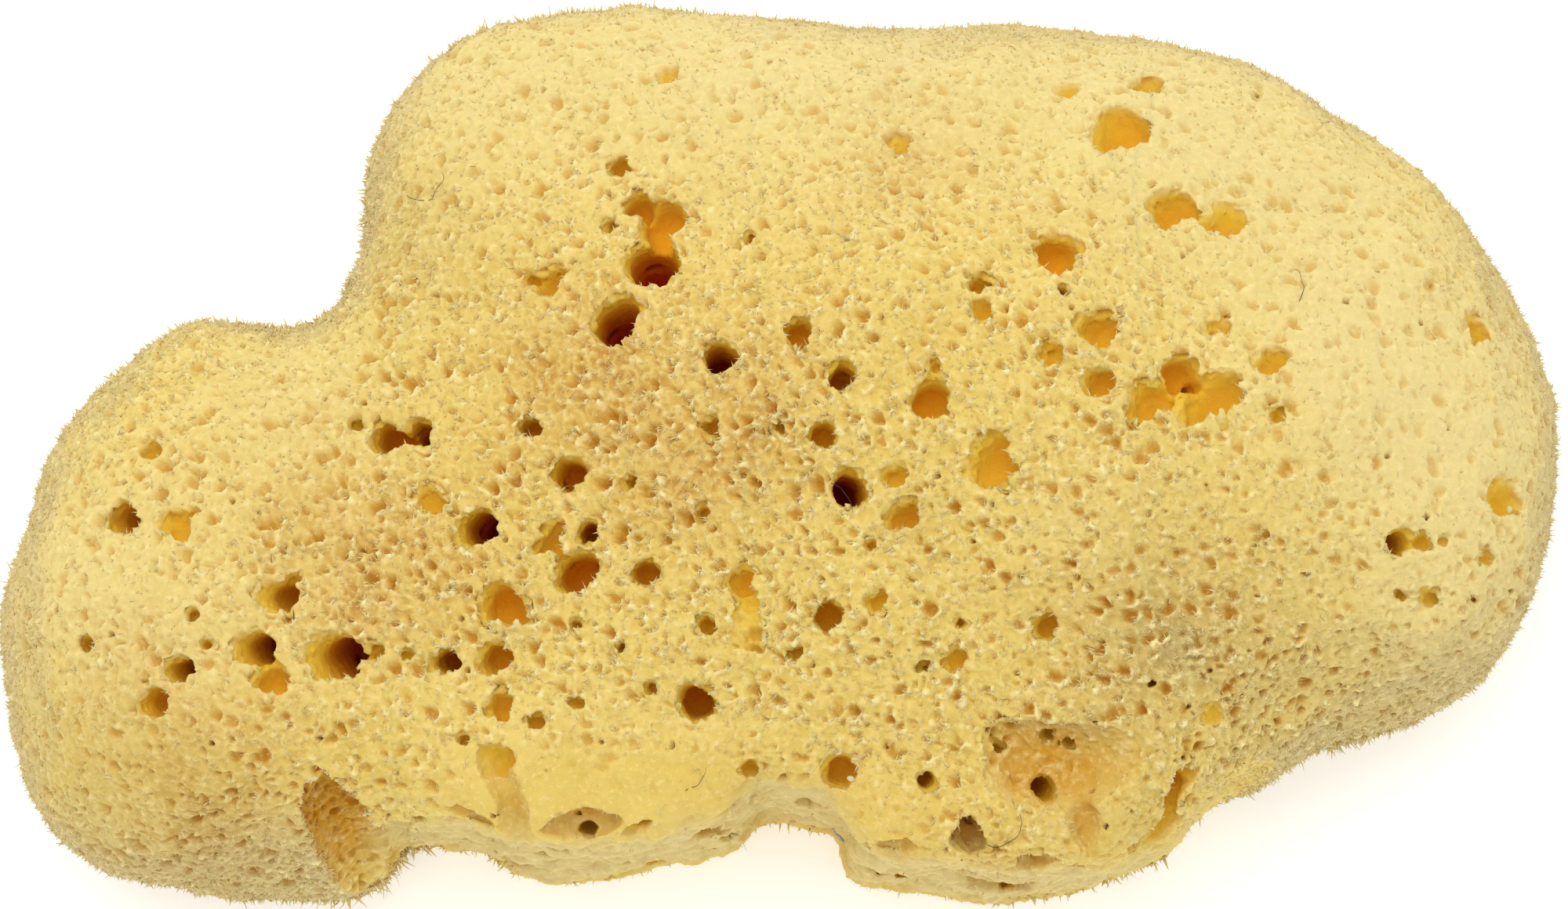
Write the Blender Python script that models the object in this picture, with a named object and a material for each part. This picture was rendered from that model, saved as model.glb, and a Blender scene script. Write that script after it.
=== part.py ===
"""Sea sponge: a fine, dried bath sponge that grew as one piece and lies on its flat cut base.

Metres, +Z up. The oscula, the large round mouths, open upwards. The wall towards -Y is cut with a
knife. The origin is the middle of the base, and X runs along the sponge.
"""

import math
import random

import bmesh
import bpy
from mathutils import Matrix, Vector, noise
from mathutils.bvhtree import BVHTree

# Driving dimensions. The drawing below is 142 mm long, so its numbers are millimetres at this size.
LENGTH = 0.142
MM = LENGTH / 142
CROWN_HEIGHT = 0.0445
EDGE_HEIGHT = 0.030
TOP_EDGE_RADIUS = 0.0120
BASE_EDGE_RADIUS = 0.0060
ROUNDING_REACH = 0.030
WIDEST_LEVEL = 0.42

# How finely the body is worked, and how many triangles it keeps.
OUTLINE_STEPS = 4
REMESH_SIZE = 0.0026
SMOOTHING_ROUNDS = 4
BODY_TRIANGLES = 4900

# Lumps of the grown surface: how far apart they stand and how high they rise.
BROAD_LUMPS = (0.0120, 0.0013)
SMALL_LUMPS = (0.0052, 0.0007)
BASE_TRIM = 0.0010

# The plan is drawn from one sight plane, tilted towards the cut wall, so that every mouth can be
# placed where it is seen. U runs to the right on that plane and V away from the cut wall.
SIGHT_TILT = math.radians(12)
SIGHT_LEVEL = 0.020
SIGHT_DISTANCE = 0.477
CHANNEL_ROOT = (-7 * MM, -17 * MM, -130 * MM)

# Where the middle of the base box lies in the drawing.
DRAWING_CENTRE = (-0.1 * MM, 2.2 * MM)

# Widest outline of the sponge in the drawing, in millimetres (x, y), clockwise from the left end.
# Its front, from (42, -33) to (-28, -43.5), is what the knife takes off.
OUTLINE = [
    (-70.7, -16.6), (-70.3, -9.4), (-68.6, -1.0), (-64.8, 5.8), (-60.2, 9.9), (-54.9, 12.6),
    (-50.7, 13.0), (-47.1, 12.6), (-44.5, 12.6), (-42.2, 14.0), (-40.5, 16.4), (-39.5, 19.5),
    (-39.6, 24.0), (-39.0, 28.4), (-36.5, 33.2), (-33.6, 37.4), (-29.5, 40.8), (-25.9, 42.3),
    (-22.1, 43.5), (-17.1, 43.8), (-10.7, 42.9), (-3.6, 42.0), (5.7, 42.0), (17.9, 41.4),
    (28.6, 40.7), (35.9, 39.9), (43.5, 37.4), (51.0, 33.8), (57.7, 28.5), (63.4, 23.6),
    (67.6, 17.8), (69.6, 11.0), (70.9, 3.8), (71.0, -3.0), (69.6, -9.4), (67.2, -16.4),
    (62.0, -21.5), (54.8, -24.7), (48.5, -25.9), (44.5, -28.4), (42.0, -33.0), (36.0, -40.0),
    (24.0, -46.0), (8.0, -47.5), (-12.0, -46.0), (-28.0, -43.5), (-35.5, -38.6), (-42.9, -38.6),
    (-50.0, -39.2), (-57.2, -38.8), (-64.0, -36.0), (-67.9, -32.1), (-69.5, -25.4), (-70.5, -21.0),
]

# The knife-cut wall in plan, in millimetres, from the left lobe to the right flank.
CUT_WALL = [
    (-43.0, -46.0), (-39.6, -40.0), (-36.3, -36.8), (-35.4, -33.6), (-31.4, -33.4), (-27.9, -33.8),
    (-25.4, -35.6), (-21.4, -36.4), (-14.3, -36.4), (-11.1, -35.4), (-4.6, -34.2), (-3.6, -31.8),
    (-1.8, -30.6), (0.7, -31.2), (4.3, -32.3), (6.0, -33.4), (6.1, -36.2), (7.9, -37.3),
    (14.3, -37.9), (20.4, -38.8), (25.0, -38.4), (28.6, -37.7), (34.3, -35.6), (37.5, -32.2),
    (40.4, -29.6), (44.5, -28.8), (50.0, -30.0),
]
CUT_AWAY = [(60.0, -80.0), (-46.0, -80.0)]
KNIFE_LEVELS = [-6, 4, 12, 20, 28, 38, 60]
KNIFE_WANDER = 1.3 * MM
KNIFE_WANDER_REACH = 8 * MM

# Swellings and hollows of the upper surface: centre x, y, reach x, y and height, in millimetres.
SWELLINGS = [
    (12, 6, 38, 26, 14.0),
    (-48, -16, 18, 18, 8.0),
    (48, -4, 20, 20, 6.0),
    (43, -15, 9, 6, -3.0),
    (-41, -10, 6, 16, -3.0),
]

# Depths of the oscula, in millimetres.
DEEP = 14.0
MIDDLE = 7.0
SHALLOW = 2.6
DISH = 1.6
WIDE_MOUTH = 2.6
MOUTH_OVERSHOOT = 3 * MM
SECTION_WOBBLE = 0.12

# Oscula on the sight plane: u, v, width of the mouth and depth, in millimetres.
OSCULA = [
    (-11.8, 17.1, 4.9, DEEP), (-15.0, 12.1, 4.4, DEEP), (-5.6, 8.8, 3.2, DEEP),
    (1.6, 11.1, 2.7, MIDDLE), (5.6, 7.1, 2.5, DEEP), (13.7, 4.8, 3.6, MIDDLE),
    (3.7, 1.8, 2.3, DEEP), (6.1, -3.2, 3.1, DEEP), (10.0, -2.1, 2.2, DISH),
    (11.1, -6.1, 2.8, SHALLOW), (19.4, -0.4, 4.2, SHALLOW), (25.4, 18.2, 4.0, MIDDLE),
    (28.6, 11.6, 3.4, MIDDLE), (29.1, 6.6, 2.7, SHALLOW), (24.6, 9.3, 2.0, DISH),
    (18.0, 15.5, 2.0, DISH), (18.0, 13.4, 2.0, DISH), (31.2, 30.0, 4.7, MIDDLE),
    (35.4, 22.3, 3.7, MIDDLE), (40.4, 21.4, 4.0, DISH), (33.2, 33.9, 3.0, SHALLOW),
    (25.9, 33.4, 2.2, DISH), (10.6, 28.6, 2.4, DISH), (-10.6, 34.8, 2.0, SHALLOW),
    (-15.1, 26.4, 1.8, MIDDLE), (-13.2, 22.7, 2.6, SHALLOW), (-10.7, 21.1, 4.3, SHALLOW),
    (-21.4, 15.7, 3.0, SHALLOW), (-23.0, 2.3, 2.2, MIDDLE), (-36.1, 1.4, 3.1, MIDDLE),
    (-33.2, 1.9, 2.6, MIDDLE), (-39.1, 2.9, 1.7, DISH), (-19.4, -1.8, 2.9, DEEP),
    (-27.7, -6.8, 3.3, DEEP), (-32.3, -4.3, 2.4, DISH), (-21.3, -7.9, 3.2, SHALLOW),
    (-17.7, -7.3, 2.1, MIDDLE), (-18.7, -11.2, 3.8, MIDDLE), (-12.5, -11.1, 2.5, MIDDLE),
    (-3.9, -11.6, 2.3, MIDDLE), (-7.0, -15.7, 1.7, MIDDLE), (-25.4, -13.9, 3.8, SHALLOW),
    (-7.9, -22.9, 3.2, DEEP), (-30.7, -19.1, 2.5, DEEP), (-26.1, -18.9, 2.9, MIDDLE),
    (-25.9, -22.9, 2.6, SHALLOW), (-40.6, -18.7, 4.2, DEEP), (-48.2, -17.9, 3.1, DEEP),
    (-46.6, -20.6, 3.0, SHALLOW), (-37.0, -18.1, 1.8, DISH), (-45.9, -13.2, 2.7, MIDDLE),
    (-55.1, -19.9, 2.4, MIDDLE), (-57.5, -22.9, 2.6, MIDDLE), (-63.7, -17.5, 1.7, SHALLOW),
    (-60.4, -5.9, 3.0, MIDDLE), (-55.4, -5.9, 3.5, DISH), (-57.9, 0.4, 2.4, DISH),
    (4.3, -15.0, 2.8, MIDDLE), (8.4, -13.4, 2.0, MIDDLE), (15.9, -18.9, 2.1, DISH),
    (24.1, -15.7, 2.3, MIDDLE), (5.6, -29.3, 3.0, MIDDLE), (13.1, -29.9, 1.7, MIDDLE),
    (23.8, -30.7, 2.4, MIDDLE), (36.6, 7.3, 3.2, MIDDLE), (39.3, 5.7, 6.0, SHALLOW),
    (33.4, 4.6, 3.6, MIDDLE), (44.6, 8.6, 3.2, DISH), (39.6, 11.8, 2.5, DISH),
    (56.4, -8.2, 2.2, MIDDLE), (58.6, -7.9, 3.0, DISH), (63.6, 11.4, 3.0, DISH),
    (66.1, -4.3, 3.2, DISH), (58.9, -13.2, 1.7, SHALLOW), (36.4, -30.0, 1.7, MIDDLE),
    (39.3, -23.9, 2.2, SHALLOW), (-6.8, 2.5, 2.0, DISH),
    (-17.5, -34.4, 3.4, DISH), (-5.7, -34.4, 2.6, DISH), (17.1, -35.4, 3.2, DISH),
    (11.4, -38.2, 3.0, DISH), (20.7, -38.9, 2.6, DISH),
]

# Channels laid open lengthwise: places (x, y, z) along each and its width there, in millimetres.
OPEN_CHANNELS = [
    [
        (-40.6, -31.0, 30.5, 3.0), (-39.8, -32.6, 28.5, 5.6), (-38.0, -35.4, 24.0, 6.8),
        (-36.2, -39.0, 16.0, 7.0), (-35.2, -43.0, 9.0, 7.0),
    ],
    [
        (-24.9, -28.8, 32.5, 1.8), (-24.5, -31.5, 31.0, 3.2), (-24.0, -34.0, 29.0, 3.6),
        (-23.6, -37.5, 25.0, 3.0),
    ],
    [
        (15.0, -28.6, 33.4, 3.0), (19.0, -29.8, 32.4, 6.6), (25.0, -30.8, 32.4, 7.2),
        (30.5, -30.0, 33.0, 5.5), (33.0, -29.5, 33.6, 3.0),
    ],
]

# Channels that open in the base: x, y, width and depth, in millimetres.
BASE_CHANNELS = [
    (-52, -17, 5.0, 9), (-60, -24, 3.0, 6), (-38, -6, 4.0, 8), (-24, 18, 5.5, 10),
    (-12, -20, 4.5, 9), (16, 22, 4.0, 8), (22, -14, 6.0, 11), (38, 12, 4.5, 9),
    (52, -6, 3.5, 7), (-20, -4, 3.0, 6),
]
BASE_CHANNEL_LEAN = 0.2


def curve_point(before, start, end, after, along):
    """Point of a Catmull-Rom span between start and end."""
    square, cube = along * along, along**3
    return (
        start * 2
        + (end - before) * along
        + (before * 2 - start * 5 + end * 4 - after) * square
        + (start * 3 - before - end * 3 + after) * cube
    ) / 2


def smooth_loop(points):
    """The closed curve through points of the drawing, as places in metres."""
    corners = [Vector(point) * MM for point in points]
    count = len(corners)
    loop = []
    for index in range(count):
        span = [corners[(index + shift) % count] for shift in (-1, 0, 1, 2)]
        for step in range(OUTLINE_STEPS):
            loop.append(curve_point(*span, step / OUTLINE_STEPS))
    return loop


def new_piece(name, shape):
    """A mesh object made from a bmesh, which is freed."""
    bmesh.ops.recalc_face_normals(shape, faces=shape.faces)
    mesh = bpy.data.meshes.new(name)
    shape.to_mesh(mesh)
    shape.free()
    mesh.shade_smooth()
    mesh.set_sharp_from_angle(angle=math.radians(50))
    piece = bpy.data.objects.new(name, mesh)
    bpy.context.collection.objects.link(piece)
    return piece


def closed_tube(rings):
    """A bmesh skin through rings of equally many points, closed at both ends."""
    shape = bmesh.new()
    loops = [[shape.verts.new(point) for point in ring] for ring in rings]
    for near, far in zip(loops, loops[1:]):
        for side, corner in enumerate(near):
            following = (side + 1) % len(near)
            shape.faces.new((corner, near[following], far[following], far[side]))
    shape.faces.new(reversed(loops[0]))
    shape.faces.new(loops[-1])
    bmesh.ops.triangulate(shape, faces=shape.faces)
    return shape


def settle(piece):
    """Replace the mesh of a piece by what its modifiers make of it."""
    graph = bpy.context.evaluated_depsgraph_get()
    settled = bpy.data.meshes.new_from_object(piece.evaluated_get(graph))
    piece.modifiers.clear()
    piece.data = settled


def remesh(piece, size):
    """Give a piece an even skin of small faces, with no folds."""
    modifier = piece.modifiers.new("even_faces", "REMESH")
    modifier.mode = "VOXEL"
    modifier.voxel_size = size
    settle(piece)


def surface_height(x, y):
    """Height of the upper surface over the base at a place of the drawing."""
    height = EDGE_HEIGHT
    for centre_x, centre_y, reach_x, reach_y, rise in SWELLINGS:
        across = (x / MM - centre_x) / reach_x
        along = (y / MM - centre_y) / reach_y
        height += rise * MM * math.exp(-across * across - along * along)
    return height


def rounding(level):
    """How far the skin stands back from the widest outline at a level from 0 to 1."""
    if level > WIDEST_LEVEL:
        part = (level - WIDEST_LEVEL) / (1 - WIDEST_LEVEL)
        return TOP_EDGE_RADIUS * (1 - math.sqrt(max(0.0, 1 - part * part)))
    part = (WIDEST_LEVEL - level) / WIDEST_LEVEL
    return BASE_EDGE_RADIUS * (1 - math.sqrt(max(0.0, 1 - part * part)))


def outline_walls(outline):
    """A search tree of the upright walls over the widest outline."""
    low = [Vector((*point, -1)) for point in outline]
    high = [Vector((*point, 1)) for point in outline]
    count = len(outline)
    quads = []
    for corner in range(count):
        following = (corner + 1) % count
        quads.append((corner, following, count + following, count + corner))
    return BVHTree.FromPolygons(low + high, quads)


def round_off(body, outline):
    """Round the edges of the slab and raise the swellings of its upper surface."""
    walls = outline_walls(outline)
    for vertex in body.data.vertices:
        place = Vector((vertex.co.x, vertex.co.y, 0))
        level = min(1.0, max(0.0, vertex.co.z / CROWN_HEIGHT))
        nearest, inwards, _, distance = walls.find_nearest(place)
        if distance > REMESH_SIZE and inwards.dot(place - nearest) > 0:
            inwards = (place - nearest).normalized()
        fade = max(0.0, 1 - distance / ROUNDING_REACH) ** 2
        place += inwards * rounding(level) * fade
        place.z = level * surface_height(place.x, place.y)
        vertex.co = place
    smooth = body.modifiers.new("soft_creases", "SMOOTH")
    smooth.factor = 0.5
    smooth.iterations = SMOOTHING_ROUNDS
    settle(body)


def raise_lumps(body):
    """Push the surface in and out along its normals in soft lumps of two sizes."""
    shape = bmesh.new()
    shape.from_mesh(body.data)
    shape.normal_update()
    moves = []
    for vertex in shape.verts:
        rise = 0.0
        for spacing, height in (BROAD_LUMPS, SMALL_LUMPS):
            rise += noise.noise(vertex.co / spacing) * height
        moves.append(vertex.normal * rise)
    for vertex, move in zip(shape.verts, moves):
        vertex.co += move
    shape.to_mesh(body.data)
    shape.free()


def flatten_base(body):
    """Cut the foot off level, so that the sponge rests on a flat face."""
    body.data.transform(Matrix.Translation((0, 0, -BASE_TRIM)))
    shape = bmesh.new()
    shape.from_mesh(body.data)
    everything = list(shape.verts) + list(shape.edges) + list(shape.faces)
    cut = bmesh.ops.bisect_plane(
        shape, geom=everything, plane_co=(0, 0, 0), plane_no=(0, 0, 1), clear_inner=True
    )["geom_cut"]
    rim = [item for item in cut if isinstance(item, bmesh.types.BMEdge)]
    base = bmesh.ops.holes_fill(shape, edges=rim)["faces"]
    bmesh.ops.triangulate(shape, faces=base)
    bmesh.ops.recalc_face_normals(shape, faces=shape.faces)
    shape.to_mesh(body.data)
    shape.free()
    body.data.shade_smooth()
    body.data.set_sharp_from_angle(angle=math.radians(50))


def grown_body():
    """The whole sponge, with its flat base, before anything else is cut from it."""
    outline = smooth_loop(OUTLINE)
    slab = [[Vector((*point, level)) for point in outline] for level in (0, CROWN_HEIGHT)]
    body = new_piece("sponge", closed_tube(slab))
    remesh(body, REMESH_SIZE)
    round_off(body, outline)
    raise_lumps(body)
    remesh(body, REMESH_SIZE / 2)
    fewer = body.modifiers.new("fewer_faces", "DECIMATE")
    fewer.ratio = BODY_TRIANGLES / (2 * len(body.data.polygons))
    fewer.use_collapse_triangulate = True
    settle(body)
    flatten_base(body)
    return body


def on_sight_plane(u, v, w=0.0):
    """World place of a point of the sight plane, or of one w in front of it."""
    up = Vector((0, math.cos(SIGHT_TILT), math.sin(SIGHT_TILT)))
    towards_eye = Vector((0, -math.sin(SIGHT_TILT), math.cos(SIGHT_TILT)))
    return Vector((u, 0, SIGHT_LEVEL)) + up * v + towards_eye * w


def seen_point(tree, u, v):
    """Where the sight line through (u, v) meets the surface, the normal there and the line."""
    eye = on_sight_plane(0, 0, SIGHT_DISTANCE)
    sight = (on_sight_plane(u, v) - eye).normalized()
    place, normal, _, _ = tree.ray_cast(eye, sight)
    return place, normal, sight


def channel(name, stations, sides, draw):
    """A closed tapering tube through (centre, radius) stations, with an uneven round section."""
    axis = (stations[-1][0] - stations[0][0]).normalized()
    turn = axis.to_track_quat("Z", "Y").to_matrix()
    swell = [1 + draw.uniform(-SECTION_WOBBLE, SECTION_WOBBLE) for _ in range(sides)]
    rings = []
    for centre, radius in stations:
        ring = []
        for side in range(sides):
            angle = math.tau * side / sides
            spoke = Vector((math.cos(angle), math.sin(angle), 0)) * radius * swell[side]
            ring.append(centre + turn @ spoke)
        rings.append(ring)
    return new_piece(name, closed_tube(rings))


def osculum_cutters(tree, draw):
    """One tapering channel for each osculum; the deep ones lean to where the channels gather."""
    root = on_sight_plane(*CHANNEL_ROOT)
    cutters = []
    for index, (u, v, width, depth) in enumerate(OSCULA):
        mouth, normal, sight = seen_point(tree, u * MM, v * MM)
        inwards = (root - mouth).normalized()
        if depth <= SHALLOW:
            inwards = (sight - normal).normalized()
        radius = width * MM / 2
        stations = [(mouth - inwards * MOUTH_OVERSHOOT, radius * 1.2)]
        if depth > SHALLOW:
            stations.append((mouth + inwards * depth * MM * 0.45, radius * 0.9))
        stations.append((mouth + inwards * depth * MM, radius * 0.5))
        sides = 8 if width > WIDE_MOUTH else 6
        cutters.append(channel(f"osculum_{index + 1}", stations, sides, draw))
    return cutters


def base_cutters(draw):
    """Channels that the flat base cuts across, each leaning a little its own way."""
    cutters = []
    for index, (x, y, width, depth) in enumerate(BASE_CHANNELS):
        foot = Vector((x, y, 0)) * MM
        lean_x = draw.uniform(-BASE_CHANNEL_LEAN, BASE_CHANNEL_LEAN)
        lean_y = draw.uniform(-BASE_CHANNEL_LEAN, BASE_CHANNEL_LEAN)
        rise = Vector((lean_x, lean_y, 1)) * depth * MM
        radius = width * MM / 2
        stations = [
            (foot - rise / 2, radius),
            (foot + rise / 2, radius * 0.9),
            (foot + rise, radius * 0.5),
        ]
        cutters.append(channel(f"base_channel_{index + 1}", stations, 7, draw))
    return cutters


def open_channel_cutters(draw):
    """Channels that the cut wall laid open along their length."""
    cutters = []
    for index, places in enumerate(OPEN_CHANNELS):
        stations = [(Vector(place[:3]) * MM, place[3] * MM / 2) for place in places]
        cutters.append(channel(f"open_channel_{index + 1}", stations, 8, draw))
    return cutters


def knife_cutter():
    """The block in front of the cut wall, whose back wanders as a knife does."""
    rings = []
    for level in KNIFE_LEVELS:
        ring = []
        for x, y in CUT_WALL + CUT_AWAY:
            corner = Vector((x, y, level)) * MM
            wander = noise.noise_vector(corner / KNIFE_WANDER_REACH) * KNIFE_WANDER
            ring.append(corner + wander)
        rings.append(ring)
    return new_piece("knife_block", closed_tube(rings))


def new_cut(body):
    """Give the body one Boolean cut and return the collection that its cutters go in."""
    cutters = bpy.data.collections.new("cutters")
    bpy.context.scene.collection.children.link(cutters)
    modifier = body.modifiers.new("cuts", "BOOLEAN")
    modifier.operation = "DIFFERENCE"
    modifier.operand_type = "COLLECTION"
    modifier.collection = cutters
    return cutters


def add_cutters(cutters, shapes):
    """Move shapes among the cutters, where no render shows them."""
    for shape in shapes:
        bpy.context.collection.objects.unlink(shape)
        cutters.objects.link(shape)
        shape.hide_render = True
        shape.display_type = "WIRE"


def dried_spongin():
    """Material of the whole sponge: pale yellow, dull and dry."""
    material = bpy.data.materials.new("dried_spongin")
    material.use_nodes = True
    shader = material.node_tree.nodes["Principled BSDF"]
    shader.inputs["Base Color"].default_value = (0.78, 0.58, 0.19, 1)
    shader.inputs["Roughness"].default_value = 0.92
    shader.inputs["Metallic"].default_value = 0.0
    return material


def centre_on_base():
    """Hang everything on an empty, so that the middle of the base comes to the origin."""
    middle = bpy.data.objects.new("middle_of_base", None)
    bpy.context.scene.collection.objects.link(middle)
    for piece in bpy.data.objects:
        if piece.type == "MESH":
            piece.parent = middle
    middle.location = (-DRAWING_CENTRE[0], -DRAWING_CENTRE[1], 0)


def main():
    for leftover in list(bpy.data.objects):
        bpy.data.objects.remove(leftover)
    draw = random.Random(7)
    body = grown_body()
    body.data.materials.append(dried_spongin())
    cutters = new_cut(body)
    add_cutters(cutters, [knife_cutter()])
    tree = BVHTree.FromObject(body, bpy.context.evaluated_depsgraph_get())
    add_cutters(cutters, osculum_cutters(tree, draw))
    add_cutters(cutters, open_channel_cutters(draw))
    add_cutters(cutters, base_cutters(draw))
    centre_on_base()


main()
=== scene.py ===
"""Looks of a fine, dried sea sponge that lies on its flat cut base.

Metres, +Z up. The sponge is drawn in a plan of its own, in millimetres, and moved to the frame's
origin at the end. Its skin is one closed body, worked fine enough to show every pore, and is then
parted into lengths. Tufts of loose fibre, hairs and grit are pieces of their own.
"""

import math
import random

import bmesh
import bpy
import numpy as np
from mathutils import Matrix, Vector, noise
from mathutils.bvhtree import BVHTree


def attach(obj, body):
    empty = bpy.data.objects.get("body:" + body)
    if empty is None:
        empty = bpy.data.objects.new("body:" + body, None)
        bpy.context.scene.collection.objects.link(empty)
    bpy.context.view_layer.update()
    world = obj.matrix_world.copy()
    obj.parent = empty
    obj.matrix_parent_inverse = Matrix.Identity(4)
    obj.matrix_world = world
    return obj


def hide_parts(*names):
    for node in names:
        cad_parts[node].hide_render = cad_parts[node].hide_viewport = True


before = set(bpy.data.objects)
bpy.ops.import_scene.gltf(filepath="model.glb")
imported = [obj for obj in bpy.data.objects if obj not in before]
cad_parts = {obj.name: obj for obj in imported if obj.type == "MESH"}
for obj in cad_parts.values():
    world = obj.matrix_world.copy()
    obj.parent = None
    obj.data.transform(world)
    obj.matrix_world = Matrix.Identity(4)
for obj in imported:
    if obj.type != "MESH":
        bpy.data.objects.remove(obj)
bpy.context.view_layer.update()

# Driving dimensions of the grown body, the same as the solid's.
MM = 0.001
CROWN_HEIGHT = 44.5 * MM
EDGE_HEIGHT = 30 * MM
TOP_EDGE_RADIUS = 12 * MM
BASE_EDGE_RADIUS = 6 * MM
ROUNDING_REACH = 30 * MM
WIDEST_LEVEL = 0.42
OUTLINE_STEPS = 4
SLAB_VOXEL = 2.6 * MM
SMOOTHING_ROUNDS = 4
BROAD_LUMPS = (12.0 * MM, 1.3 * MM)
SMALL_LUMPS = (5.2 * MM, 0.7 * MM)
BASE_TRIM = 1.0 * MM

# How finely the skin is worked.
SOFT_VOXEL = 0.7 * MM
SOFT_ROUNDS = 70
WALL_MOUTHS = 26
FLANK_MOUTHS = 26
CUTTER_VOXEL = 0.22 * MM
SKIN_VOXEL = 0.22 * MM
SKIN_TRIANGLES = 760_000
SKIN_LENGTHS = 4
NAP_SPIKES = 26_000
FUZZ_SPIKES = 16_000
FRINGE_STRANDS = 2_000

# The plan is drawn from one sight plane, tilted towards the cut wall. U runs to the right on it and
# V away from the cut wall. The camera looks straight down on it.
SIGHT_TILT = math.radians(12)
SIGHT_LEVEL = 20 * MM
SIGHT_DISTANCE = 477 * MM
CHANNEL_ROOT = (-7 * MM, -17 * MM, -130 * MM)
DRAWING_CENTRE = Vector((-0.1 * MM, 2.2 * MM, 0))

# Widest outline of the sponge in plan, in millimetres, clockwise from the left end. Its front, from
# (42, -33) to (-28, -43.5), is what the knife takes off.
OUTLINE = [
    (-70.7, -16.6), (-70.3, -9.4), (-68.6, -1.0), (-64.8, 5.8), (-60.2, 9.9), (-54.9, 12.6),
    (-50.7, 13.0), (-47.1, 12.6), (-44.5, 12.6), (-42.2, 14.0), (-40.5, 16.4), (-39.5, 19.5),
    (-39.6, 24.0), (-39.0, 28.4), (-36.5, 33.2), (-33.6, 37.4), (-29.5, 40.8), (-25.9, 42.3),
    (-22.1, 43.5), (-17.1, 43.8), (-10.7, 42.9), (-3.6, 42.0), (5.7, 42.0), (17.9, 41.4),
    (28.6, 40.7), (35.9, 39.9), (43.5, 37.4), (51.0, 33.8), (57.7, 28.5), (63.4, 23.6),
    (67.6, 17.8), (69.6, 11.0), (70.9, 3.8), (71.0, -3.0), (69.6, -9.4), (67.2, -16.4),
    (62.0, -21.5), (54.8, -24.7), (48.5, -25.9), (44.5, -28.4), (42.0, -33.0), (36.0, -40.0),
    (24.0, -46.0), (8.0, -47.5), (-12.0, -46.0), (-28.0, -43.5), (-35.5, -38.6), (-42.9, -38.6),
    (-50.0, -39.2), (-57.2, -38.8), (-64.0, -36.0), (-67.9, -32.1), (-69.5, -25.4), (-70.5, -21.0),
]

# The knife-cut wall in plan, in millimetres, from the left lobe to the right flank.
CUT_WALL = [
    (-43.0, -46.0), (-39.6, -40.0), (-36.3, -36.8), (-35.4, -33.6), (-31.4, -33.4), (-27.9, -33.8),
    (-25.4, -35.6), (-21.4, -36.4), (-14.3, -36.4), (-11.1, -35.4), (-4.6, -34.2), (-3.6, -31.8),
    (-1.8, -30.6), (0.7, -31.2), (4.3, -32.3), (6.0, -33.4), (6.1, -36.2), (7.9, -37.3),
    (14.3, -37.9), (20.4, -38.8), (25.0, -38.4), (28.6, -37.7), (34.3, -35.6), (37.5, -32.2),
    (40.4, -29.6), (44.5, -28.8), (50.0, -30.0),
]
CUT_AWAY = [(60.0, -80.0), (-46.0, -80.0)]
KNIFE_LEVELS = [-6, 4, 12, 20, 28, 38, 60]
KNIFE_WANDER = 1.3 * MM
KNIFE_WANDER_REACH = 8 * MM

# Swellings and hollows of the upper surface: centre x, y, reach x, y and height, in millimetres.
SWELLINGS = [
    (12, 6, 38, 26, 14.0),
    (-48, -16, 18, 18, 8.0),
    (48, -4, 20, 20, 6.0),
    (43, -15, 9, 6, -3.0),
    (-41, -10, 6, 16, -3.0),
]

# Depths of the oscula, in millimetres.
DEEP = 14.0
MIDDLE = 7.0
CUP = 4.6
SHALLOW = 3.0
DISH = 2.0
GRAZE = 1.3

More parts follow.
